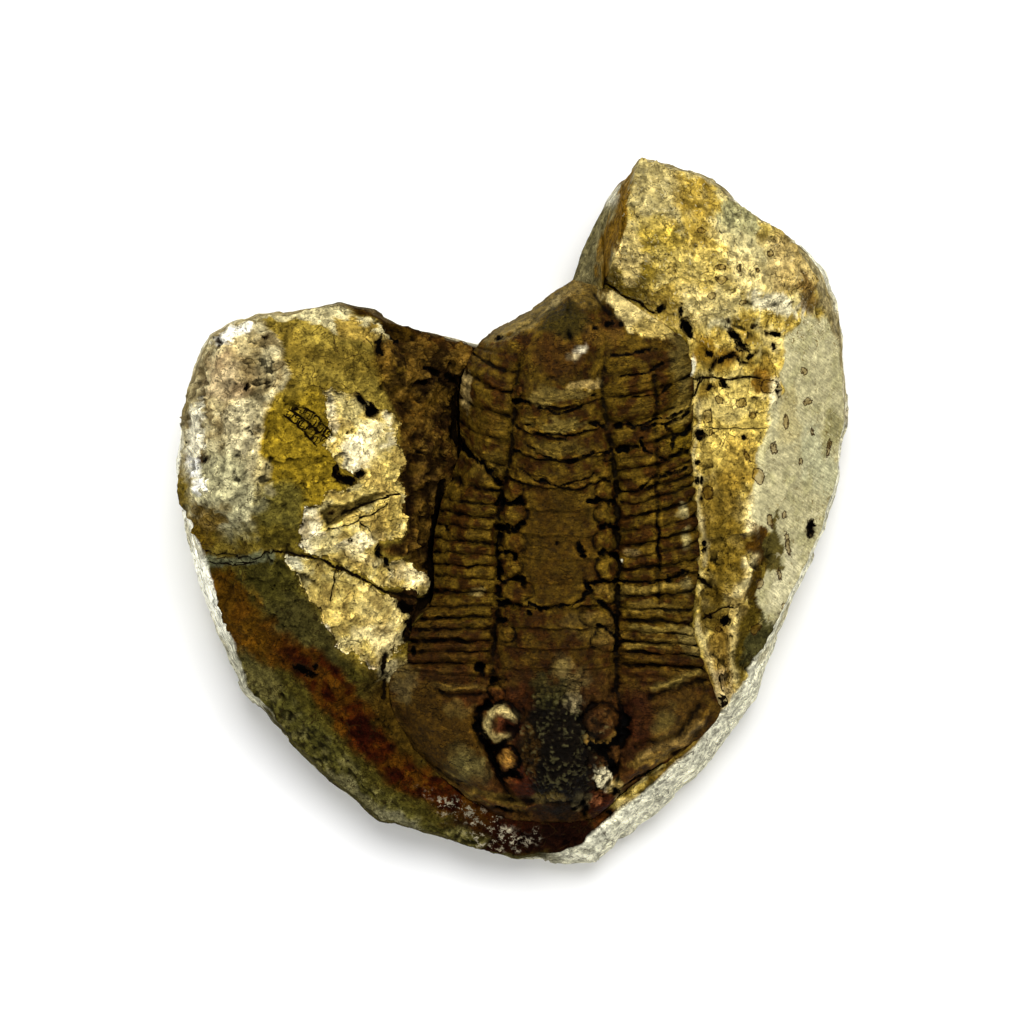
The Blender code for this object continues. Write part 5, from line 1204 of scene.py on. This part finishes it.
    # behind, where old breaks are weathered: an ochre rind from the rim down, and brown patches
    behind = wall * ease(3.0, 10.0, y)
    rind = ease(7.0, 15.0, z + 7.0 * fractal(flat, 7.0, 4, 173)) * behind
    colour = paint(colour, 0.85 * rind, "#a4925a")
    colour = paint(colour, 0.7 * rind * ease(0.0, 0.3, mottle), "#7d6c38")
    colour = paint(colour, 0.6 * behind * ease(0.08, 0.3, fractal(flat, 9.0, 4, 177)), "#8c7a48")
    notch = wall * (1.0 - ease(9.0, 12.0, x)) * ease(20.0, 22.0, y)
    colour = paint(colour, notch, "#857b50")
    colour = paint(colour, 0.8 * notch * ease(0.0, 0.3, mottle), "#5f5630")
    colour = paint(colour, 0.9 * notch * ease(30.0, 31.5, y), "#d6d2ba")
    colour = paint(colour, ease(-0.15, 0.15, depth["notchBrown"]), "#846218")
    farWall = wall * ease(14.0, 16.0, y) * (1.0 - ease(-2.0, 1.0, x)) * ease(8.0, 12.0, z)
    colour = paint(colour, 0.9 * farWall * ease(-19.0, -16.0, x), "#443008")

    fresh = np.tile(pigment("#cbb25e"), (len(x), 1))
    fresh = paint(fresh, 0.7 * ease(0.0, 0.3, mottle), "#d8c888")
    fresh = stains(fresh, stone["freshStains"])
    fresh = layStreaks(fresh, wx, wy, ragged, stone["freshStreaks"])
    fresh = paint(fresh, ease(-0.1, 0.12, depth["shaleBand"]), "#6b5a26")
    fresh = paint(fresh, 0.6 * ease(0.1, 0.3, -mottle), "#94793a")
    frost = stains(np.zeros((len(x), 3)), stone["frost"])[:, 0]
    return colour, fresh, np.where(kind == 1.0, frost, 0.0)


def dressStone():
    # the stone's mesh and attributes; sunk is how far a place lies below the mean round it, which
    # is summed at three widths; the material paints shade into sunk places and highlight onto raised ones
    grid, ringKind, away = stoneGrid()
    flat, kind, depth, attributes = stoneRelief(grid, ringKind, away)
    colour, fresh, frost = stoneColours(flat, kind, depth)
    top = ringKind == 1.0
    height = flat[:, 2].reshape(grid.shape[:2])
    sunk = np.zeros(height.shape)
    inFrom = np.minimum(np.arange(top.sum()) + 2, np.arange(top.sum())[::-1])[:, None]
    for rounds, weight in ((3, 1.6), (20, 0.7), (120, 0.12)):
        fade = ease(0.0, math.sqrt(rounds) + 1.0, inFrom)
        sunk[top] += weight * fade * (worn(height[top], rounds, True) - height[top])
    attributes.update({"tint": colour, "fresh": fresh, "frost": frost, "sunk": sunk.ravel()})

    rings, count = grid.shape[:2]
    number = np.arange(rings * count).reshape(rings, count)
    ahead = np.roll(number, -1, axis=1)
    quads = np.stack([number[:-1], number[1:], ahead[1:], ahead[:-1]], axis=-1).reshape(-1, 4)
    middle = np.array([[*stone["centre"], grid[0, :, 2].mean()], [*stone["centre"], 0.0]])
    top, bottom = rings * count, rings * count + 1
    lid = np.stack([np.full(count, top), number[0], ahead[0]], axis=1)
    base = np.stack([np.full(count, bottom), ahead[-1], number[-1]], axis=1)
    points = np.concatenate([flat, middle])
    attributes = {label: np.concatenate([values, values[[0, -1]]]) for label, values in attributes.items()}
    return makePiece("dolomite_stone", points, [quads, lid, base], attributes, ["matrix"])


def fossilColours(flat):
    # brown fossil: a base with lighter and darker mottling, then stains along the body
    x, y, z = flat.T
    wx, wy = x + fractal(flat, 2.4, 4, 221) * 0.6, y + fractal(flat, 2.4, 4, 231) * 0.6
    mottle, ragged = fractal(flat, 1.4, 5, 241), fractal(flat, 1.0, 4, 245) * 0.6
    colour = np.tile(pigment("#4d380c"), (len(x), 1))
    colour = paint(colour, 0.8 * ease(0.0, 0.3, mottle), "#675016")
    colour = paint(colour, 0.8 * ease(0.08, 0.3, -mottle), "#351b05")
    colour = paint(colour, 0.5 * ease(9.0, 14.0, -wy), "#3a2007")
    colour = layStains(colour, wx, wy, ragged, fossil["stains"])
    colour = layStreaks(colour, x, y, ragged, fossil["streaks"])
    grain = layStains(np.zeros((len(x), 3)), wx, wy, ragged, fossil["granules"])[:, 0]
    # the body is a shade darker and yellower than the head
    body = ease(-17.0, -15.0, wy)[:, None]
    return colour * (1.0 - body * [0.16, 0.18, 0.34]), grain


def dressFossil():
    # the skin, pushed out along its normals by noise, with its edge drawn down to the bed and
    # closed below by a fan
    grid = np.stack([fossilX, fossilY, fossilZ], axis=-1)
    flat = grid.reshape(-1, 3)
    normal = gridNormals(grid, False).reshape(-1, 3)
    normal = normal * (-1.0 if normal[:, 2].mean() < 0.0 else 1.0)
    colour, grain = fossilColours(flat)
    level, near = flakes(flat, 0.44, 281)
    granule = grain * (1.0 - ease(0.25, 0.75, near))
    lift = 0.13 * fractal(flat, 1.3, 5, 251) + 0.12 * fractal(flat, 3.6, 2, 261)
    lift = lift + 0.06 * flakes(flat, 0.9, 271)[0] + fossil["granuleHeight"] * granule + 0.08 * grain * level
    skin = flat + normal * lift[:, None]
    height = skin[:, 2].reshape(grid.shape[:2])
    # sunk: how far a place lies below the mean round it, at three widths, which the material turns into
    # painted shade in hollows and painted highlight on crests; the skirt and fan under the edge take a sunk
    # of 0.1, a little painted shade
    fromEnd = np.minimum(np.arange(fossil["rows"]), np.arange(fossil["rows"])[::-1])[:, None]
    fromSide = np.minimum(np.arange(fossil["columns"]), np.arange(fossil["columns"])[::-1])
    sunk = np.zeros(height.shape)
    for rounds, weight in ((3, 1.8), (20, 0.8), (120, 0.16)):
        fade = ease(0.0, 2.0 * math.sqrt(rounds), fromEnd) * ease(0.0, math.sqrt(rounds), fromSide)
        sunk += weight * fade * (worn(height, rounds, False) - height)
    sunk = sunk.ravel() * (1.0 - 0.55 * grain)

    rows, columns = grid.shape[:2]
    number = np.arange(rows * columns).reshape(rows, columns)
    corners = [number[:-1, :-1], number[1:, :-1], number[1:, 1:], number[:-1, 1:]]
    quads = np.stack(corners, axis=-1).reshape(-1, 4)
    ring = np.concatenate([number[:-1, 0], number[-1, :-1], number[:0:-1, -1], number[0, :0:-1]])
    rim = skin[ring]
    floor = fossil["bedHeight"] + fossil["bedSlope"] * rim[:, 1] + 0.3
    overhang = ease(16.5, 18.5, rim[:, 1]) * (1.0 - ease(7.0, 9.0, rim[:, 0]))      # tail's tip, past the rim
    floor = floor - fossil["tipSink"] * overhang
    inward = np.stack([stone["centre"][0] - rim[:, 0], stone["centre"][1] - rim[:, 1]], axis=1)
    inward = inward / np.linalg.norm(inward, axis=1, keepdims=True)
    inward = inward * overhang[:, None] * fossil["tipUndercut"]
    layers = []
    for drop in (0.25, 0.5, 0.75, 1.0):
        place = rim[:, :2] + inward * ease(0.2, 1.0, drop)
        layers.append(np.column_stack([place, rim[:, 2] + (floor - rim[:, 2]) * drop]))
    points = np.concatenate([skin, *layers, layers[-1].mean(axis=0, keepdims=True)])
    loops = [ring] + [len(skin) + layer * len(ring) + np.arange(len(ring)) for layer in range(len(layers))]
    skirt = [np.stack([upper, np.roll(upper, -1), np.roll(lower, -1), lower], axis=1)
             for upper, lower in zip(loops, loops[1:])]
    fan = np.stack([np.full(len(ring), len(points) - 1), loops[-1], np.roll(loops[-1], -1)], axis=1)
    faceSets = [quads, *[band[:, ::-1] for band in skirt], fan[:, ::-1]]
    extra = len(points) - len(skin)
    attributes = {
        "tint": np.concatenate([colour] + [colour[ring]] * len(layers) + [colour[:1]]),
        "sunk": np.concatenate([sunk, np.full(extra, 0.1)]),
        "hole": np.concatenate([fossilSlot.ravel(), np.full(extra, -9.0)]),
        "grain": np.concatenate([np.stack([grain, granule, 0.0 * grain], axis=1), np.zeros((extra, 3))]),
    }
    return makePiece("trilobite_skin", points, faceSets, attributes, ["trilobite"])


stonePiece = dressStone()
fossilPiece = dressFossil()


# Materials

modes = {"Math": "operation", "VectorMath": "operation", "Mix": "blend_type", "TexVoronoi": "feature",
         "Mapping": "vector_type"}
always = {"Mix": {"data_type": "RGBA"}, "MapRange": {"interpolation_type": "SMOOTHSTEP"}}


def addNode(tree, kind, *values, named=(), **settings):
    # one node with its settings; a second word in its kind is its mode; values, in order or by
    # name, are linked to the inputs in use or put into them; gives the first output in use
    kind, _, mode = kind.partition(" ")
    node = tree.nodes.new("ShaderNode" + kind)
    if mode:
        settings[modes[kind]] = mode
    for name, value in {**always.get(kind, {}), **settings}.items():
        setattr(node, name, value)
    used = [socket for socket in node.inputs if socket.enabled]
    pairs = list(zip(used, values)) + [(node.inputs[name], value) for name, value in dict(named).items()]
    for socket, value in pairs:
        if isinstance(value, bpy.types.NodeSocket):
            tree.links.new(value, socket)
        elif socket.type == "RGBA":
            socket.default_value = (*value[:3], 1.0)
        else:
            socket.default_value = value
    return next((socket for socket in node.outputs if socket.enabled), None)


def startMaterial(name):
    # an empty material, and what adds nodes to it
    made = bpy.data.materials.new(name)
    made.use_nodes = True
    made.node_tree.nodes.clear()
    return made, functools.partial(addNode, made.node_tree)


def toned(add, colour, value, share=1.0):
    # a colour multiplied by one brightness
    return add("Mix MULTIPLY", share, colour, add("CombineColor", value, value, value))


def bentPlace(add, where, size):
    # places shifted by noise, by this many millimetres at most, so that no cell is straight-edged
    shift = add("TexNoise", where, 0.7 / (size * mm), 1.5).node.outputs["Color"]
    return add("VectorMath MULTIPLY_ADD", shift, (size * mm,) * 3, where)


def facets(add, bent, size):
    # broken crystal faces of this many millimetres: each cell round a scattered point is a plane of
    # its own slope, so the height is the cell's random lean times the way out from its point
    cell = add("TexVoronoi", bent, 1.0 / (size * mm)).node.outputs
    out = add("VectorMath SUBTRACT", bent, cell["Position"])
    lean = add("VectorMath SUBTRACT", cell["Color"], (0.5, 0.5, 0.5))
    slope = add("VectorMath DOT_PRODUCT", out, lean)
    return add("Math MULTIPLY", slope, 1.0 / (size * mm)), add("SeparateXYZ", cell["Color"])


def speckled(add, colour, blotch, grit, fleck, contrast):
    # broken stone close up: blotches, grit, and dark and pale flecks, all as brightness; dark
    # pigment is dulled a little more by dirt than pale stone
    clean = add("MapRange", add("RGBToBW", colour), 0.08, 0.5, 0.72, 1.04)
    blotched = add("MapRange", blotch, 0.42, 0.58, 1.0 - 0.2 * contrast, 1.0 + 0.2 * contrast)
    gritty = add("MapRange", grit, 0.31, 0.69, 1.0 - 0.5 * contrast, 1.0 + 0.55 * contrast)
    dark = add("MapRange", fleck, 0.58, 0.74, 1.0, 1.0 - 0.8 * contrast)
    pale = add("MapRange", fleck, 0.42, 0.24, 1.0, 1.0 + 0.7 * contrast)
    for value in (clean, blotched, gritty, add("Math MULTIPLY", dark, pale)):
        colour = toned(add, colour, value)
    return colour


def weatheredDolomite():
    # weathered dolomite: a dull sugary limestone stained by iron, so it is matt and speckled, with
    # crisp edges where fresh stone shows, cracks and holes painted near black as the shade in them,
    # and rings left by shell pieces; painted shade darkens its hollows and painted highlight its crests
    made, add = startMaterial("weathered dolomite")
    where = add("TexCoord").node.outputs["Object"]
    read = {name: add("Attribute", attribute_name=name).node.outputs for name in (
        "tint", "fresh", "crack", "hole", "socket", "scar", "sawn", "frost", "sunk", "shells")}
    value = {name: outputs["Fac"] for name, outputs in read.items()}
    # noise: size of its largest lumps in mm, octaves, roughness
    blotch, grit, fleck, vein, broad = (
        add("TexNoise", where, 1.0 / (size * mm), octaves, roughness) for size, octaves, roughness in (
            (2.0, 4.0, 0.66), (0.75, 3.0, 0.74), (0.27, 1.5, 0.7), (1.6, 4.0, 0.62), (9.0, 3.0, 0.5)))
    bent = bentPlace(add, where, 1.0)
    split = add("TexVoronoi DISTANCE_TO_EDGE", bent, 1.0 / (2.4 * mm))
    wobble = add("Math SUBTRACT", grit, 0.5)

    colour = read["tint"]["Color"]
    scarEdge = add("Math MULTIPLY_ADD", wobble, 1.4, value["scar"])
    scarred = add("MapRange", scarEdge, -0.03, 0.05)
    colour = add("Mix", scarred, colour, read["fresh"]["Color"])
    frosted = add("Math MULTIPLY", value["frost"], add("MapRange", grit, 0.524, 0.596))
    colour = add("Mix", frosted, colour, pigment("#938a72"))
    broken, own = facets(add, bent, 1.1)
    small, ownSmall = facets(add, bent, 0.45)
    speckles = speckled(add, colour, blotch, grit, fleck, 1.0)
    colour = add("Mix", add("MapRange", value["sawn"], 0.0, 1.0, 1.0, 0.5), colour, speckles)
    glint = add("MapRange", add("Math MULTIPLY_ADD", ownSmall, 0.6, own), 0.0, 1.6, 0.74, 1.26)
    colour = toned(add, colour, glint, add("Math SUBTRACT", 1.0, value["sawn"]))
    # a net of fine cracks, painted dark as the shade inside them
    veined = add("MapRange", add("Math ABSOLUTE", add("Math SUBTRACT", vein, 0.5)), 0.018, 0.006)
    veined = add("Math MULTIPLY", veined, add("MapRange", blotch, 0.48, 0.56, 0.0, 0.6))
    splits = add("MapRange", split, 0.022, 0.008)
    splits = add("Math MULTIPLY", splits, add("MapRange", vein, 0.5, 0.54, 0.0, 0.85))
    splits = add("Math MULTIPLY", splits, add("MapRange", broad, 0.44, 0.58, 0.15, 1.0))
    natural = add("MapRange", value["sawn"], 0.0, 1.0, 1.0, 0.2)
    veined = add("Math MULTIPLY", veined, natural)
    cracked = add("Math MAXIMUM", veined, add("Math MULTIPLY", splits, natural))
    colour = add("Mix", cracked, colour, pigment("#2a1c08"))

    # cut shell pieces: rings a third of a cell out from scattered middles
    swirl = add("TexNoise", where, 1.0 / (2.0 * mm)).node.outputs["Color"]
    swirled = add("VectorMath MULTIPLY_ADD", where, swirl, (1.6 * mm,) * 3)
    shell = add("TexVoronoi", swirled, 1.0 / (2.6 * mm))
    ring = add("MapRange", add("Math ABSOLUTE", add("Math SUBTRACT", shell, 0.34)), 0.05, 0.02)
    ring = add("Math MULTIPLY", ring, value["shells"])
    ring = add("Math MULTIPLY", ring, add("MapRange", vein, 0.44, 0.54, 0.0, 0.6))
    colour = add("Mix", ring, colour, pigment("#6e5a26"))
    bright = add("Math MULTIPLY", value["shells"], add("MapRange", shell, 0.24, 0.16, 0.0, 0.35))
    colour = add("Mix", bright, colour, pigment("#ded3a6"))

    # saw marks: noise drawn out long, 6 mm by 0.25 mm, down to the right
    drawn = add("Mapping TEXTURE", where, (0.0, 0.0, 0.0), (0.0, 0.0, math.radians(-35.0)), (4.5, 0.06, 0.25))
    lines = add("TexNoise", drawn, 1.0 / (3.0 * mm), 3.0)
    colour = toned(add, colour, add("MapRange", lines, 0.4, 0.6, 0.78, 1.14), value["sawn"])

    # painted shade darkens hollows and painted highlight lightens crests, by how far a place lies below or
    # above the mean round it
    hollowShadeCrestHighlight = add("Math MULTIPLY_ADD", add("Math SUBTRACT", grit, 0.5), 0.42, value["sunk"])
    colour = toned(add, colour, add("MapRange", hollowShadeCrestHighlight, 0.02, 0.7, 1.0, 0.12))
    colour = toned(add, colour, add("MapRange", hollowShadeCrestHighlight, -0.02, -0.6, 1.0, 1.7))

    # rims: a painted shadow line along the edges of flake scars, then sockets, cracks and holes
    scarEdgeShadow = add("MapRange", add("Math ABSOLUTE", scarEdge), 0.10, 0.02, 0.0, 0.6)
    colour = add("Mix", scarEdgeShadow, colour, pigment("#3a2a10"))
    socketEdge = add("Math MULTIPLY_ADD", wobble, 0.8, value["socket"])
    colour = add("Mix", add("MapRange", socketEdge, -0.03, 0.03, 0.0, 0.5), colour, pigment("#7a5a1a"))
    socketLine = add("MapRange", add("Math ABSOLUTE", socketEdge), 0.08, 0.03, 0.0, 0.95)
    colour = add("Mix", socketLine, colour, pigment("#2e1c08"))
    # cracks: each drawn as a near black line, the painted shade inside the crack
    crackSide, crackNear, crackHalf = add("SeparateXYZ", read["crack"]["Vector"]).node.outputs
    halfWidth = add("Math MULTIPLY", crackHalf, add("MapRange", grit, 0.3, 0.7, 0.1, 1.9))
    offLine = add("Math SUBTRACT", add("Math ABSOLUTE", crackSide), halfWidth)
    crackLine = add("MapRange", offLine, 0.03, -0.02)
    crackLine = add("Math MULTIPLY", crackLine, add("MapRange", crackNear, 0.42, 0.30))
    colour = add("Mix", crackLine, colour, pigment("#100902"))
    # holes: painted shade round their lips, and near black painted inside them as their shade
    holeEdge = add("Math MULTIPLY_ADD", wobble, 1.6, value["hole"])
    holed = add("MapRange", holeEdge, -0.03, 0.06)
    colour = add("Mix", add("MapRange", holeEdge, -0.28, 0.0, 0.0, 0.6), colour, pigment("#33200a"))
    colour = add("Mix", holed, colour, pigment("#050301"))

    bumpShare = add("MapRange", value["sawn"], 0.0, 1.0, 1.0, 0.4)
    # relief, in shares of half a millimetre: each noise lifts it, each line cuts into it
    rise = 0.0
    for layer, share in ((fleck, 0.27), (grit, 0.67), (blotch, 0.8), (broken, 0.9), (small, 0.45),
                         (scarred, -0.3), (add("Math MAXIMUM", crackLine, holed), -0.8), (veined, -0.5)):
        rise = add("Math MULTIPLY_ADD", layer, share, rise)
    bump = add("Bump", named={"Strength": bumpShare, "Distance": 0.5 * mm, "Height": rise})
    shader = add("BsdfPrincipled", named={
        "Base Color": colour, "Roughness": 0.9, "IOR": 1.5, "Specular IOR Level": 0.02, "Normal": bump})
    add("OutputMaterial", shader)
    return made


def ironStainedFossil():
    # the animal's mould in iron-stained dolomite: denser and smoother than the stone, so it has
    # a faint sheen; painted highlight lightens its crests and painted shade makes its furrows near black
    made, add = startMaterial("iron-stained fossil dolomite")
    where = add("TexCoord").node.outputs["Object"]
    read = {name: add("Attribute", attribute_name=name).node.outputs for name in (
        "tint", "sunk", "hole", "grain")}
    # wrinkles run across the body, so their noise is drawn out sideways
    drawn = add("Mapping", where, (0.0, 0.0, 0.0), (0.0, 0.0, 0.0), (0.4, 1.5, 1.0))
    # noise: where, size of its largest lumps in mm, octaves, roughness
    blotch, grit, fleck, broad, wrinkle = (
        add("TexNoise", place, 1.0 / (size * mm), octaves, roughness) for place, size, octaves, roughness in (
            (where, 1.4, 4.0, 0.68), (where, 0.6, 3.0, 0.74), (where, 0.24, 1.5, 0.7), (where, 5.0, 3.0, 0.6),
            (drawn, 1.3, 4.0, 0.66)))
    wobble = add("Math SUBTRACT", grit, 0.5)

    colour = speckled(add, read["tint"]["Color"], blotch, grit, fleck, 0.9)
    broken, own = facets(add, bentPlace(add, where, 0.65), 0.7)
    # painted glint: each crystal facet a little lighter or darker, by the random colour that also leans it
    colour = toned(add, colour, add("MapRange", own, 0.0, 1.0, 0.8, 1.2))
    # a wrinkle is a thin line where its noise passes the middle of its range, cut in a little; painted shade
    # darkens it and painted highlight lightens both its sides
    line = add("Math ABSOLUTE", add("Math SUBTRACT", wrinkle, 0.5))
    wrinkled = add("MapRange", line, 0.022, 0.006)
    wrinkled = add("Math MULTIPLY", wrinkled, add("MapRange", blotch, 0.42, 0.54, 0.2, 0.8))
    wrinkled = add("Math MULTIPLY", wrinkled, add("MapRange", broad, 0.4, 0.58, 0.2, 1.0))
    colour = toned(add, colour, add("MapRange", wrinkled, 0.0, 1.0, 1.0, 0.3))
    lit = add("Math MULTIPLY", add("MapRange", line, 0.05, 0.03), add("MapRange", line, 0.02, 0.03))
    colour = toned(add, colour, add("MapRange", lit, 0.0, 1.0, 1.0, 1.35))
    grain, granule, _ = add("SeparateXYZ", read["grain"]["Vector"]).node.outputs
    # near black painted shade between the granules, and a paler painted highlight on their tips
    between = add("Math MULTIPLY", grain, add("MapRange", granule, 0.35, 0.05, 0.0, 0.8))
    colour = add("Mix", between, colour, pigment("#080502"))
    tip = add("Math MULTIPLY_ADD", add("Math SUBTRACT", blotch, 0.5), 3.0, granule)
    colour = add("Mix", add("MapRange", tip, 0.6, 1.25, 0.0, 0.5), colour, pigment("#504b2c"))
    # painted shade darkens hollows and furrows, painted highlight lightens crests, by how far a place lies
    # below or above the mean round it
    hollowShadeCrestHighlight = add("Math MULTIPLY_ADD", add("Math SUBTRACT", grit, 0.5), 0.33, read["sunk"]["Fac"])
    colour = toned(add, colour, add("MapRange", hollowShadeCrestHighlight, 0.0, 0.6, 1.0, 0.1))
    colour = toned(add, colour, add("MapRange", hollowShadeCrestHighlight, 0.0, -0.55, 1.0, 2.1))
    # slots and pits: near black painted into them as their shade
    holeEdge = add("Math MULTIPLY_ADD", wobble, 1.3, read["hole"]["Fac"])
    holed = add("MapRange", holeEdge, -0.06, 0.10)
    colour = add("Mix", holed, colour, pigment("#030201"))

    rise = 0.0
    for layer, share in ((fleck, 0.23), (grit, 0.58), (blotch, 0.6), (broken, 0.5), (wrinkled, -0.35)):
        rise = add("Math MULTIPLY_ADD", layer, share, rise)
    bump = add("Bump", named={"Strength": 1.0, "Distance": 0.34 * mm, "Height": rise})
    shader = add("BsdfPrincipled", named={
        "Base Color": colour, "Roughness": add("MapRange", grit, 0.26, 0.74, 0.55, 0.8), "IOR": 1.5,
        "Specular IOR Level": 0.04, "Normal": bump})
    add("OutputMaterial", shader)
    return made


stonePiece.data.materials.append(weatheredDolomite())
fossilPiece.data.materials.append(ironStainedFossil())
print("materials made")


# Floor, light and camera

studio = {
    "frameWidth": 102.4,        # plan width across the picture at the height below
    "focusHeight": 14.0,
    "cameraHeight": 1500.0,
    "sensor": 36.0,
    "floorHalf": 900.0,
    "skyLight": 0.70,
    "keyPower": 14.0,           # watts
    "keySize": 800.0,
    "keyPlace": (100.0, 540.0, 1180.0),
}


def makeFloor():
    half = studio["floorHalf"]
    corners = np.array([(-half, -half, 0.0), (half, -half, 0.0), (half, half, 0.0), (-half, half, 0.0)]) * mm
    mesh = bpy.data.meshes.new("floor")
    mesh.from_pydata(corners.tolist(), [], [(0, 1, 2, 3)])
    floor = bpy.data.objects.new("floor", mesh)
    bpy.context.scene.collection.objects.link(floor)
    made, add = startMaterial("white paper")
    add("OutputMaterial", add("BsdfPrincipled", named={"Base Color": (0.94, 0.94, 0.94), "Roughness": 0.95}))
    mesh.materials.append(made)


def makeLights():
    world = bpy.data.worlds.new("studio")
    bpy.context.scene.world = world
    world.use_nodes = True
    back = world.node_tree.nodes["Background"]
    back.inputs["Color"].default_value = (1.0, 1.0, 1.0, 1.0)
    back.inputs["Strength"].default_value = studio["skyLight"]
    lamp = bpy.data.lights.new("key", "AREA")
    lamp.energy = studio["keyPower"]
    lamp.shape = "DISK"
    lamp.size = studio["keySize"] * mm
    key = bpy.data.objects.new("key", lamp)
    key.location = [value * mm for value in studio["keyPlace"]]
    key.rotation_euler = (-key.location).to_track_quat("-Z", "Y").to_euler()
    bpy.context.scene.collection.objects.link(key)


def makeCamera():
    # straight down, with the tail at the top of the picture; the lens is longer by the camera's
    # height over the frame's width
    lens = bpy.data.cameras.new("camera")
    lens.sensor_width = studio["sensor"]
    lens.lens = studio["sensor"] * (studio["cameraHeight"] - studio["focusHeight"]) / studio["frameWidth"]
    lens.clip_end = 10.0
    camera = bpy.data.objects.new("camera", lens)
    camera.location = (0.0, 0.0, studio["cameraHeight"] * mm)
    bpy.context.scene.collection.objects.link(camera)
    bpy.context.scene.camera = camera


makeFloor()
makeLights()
makeCamera()
bpy.context.scene.view_settings.view_transform = "Standard"
print("studio made")
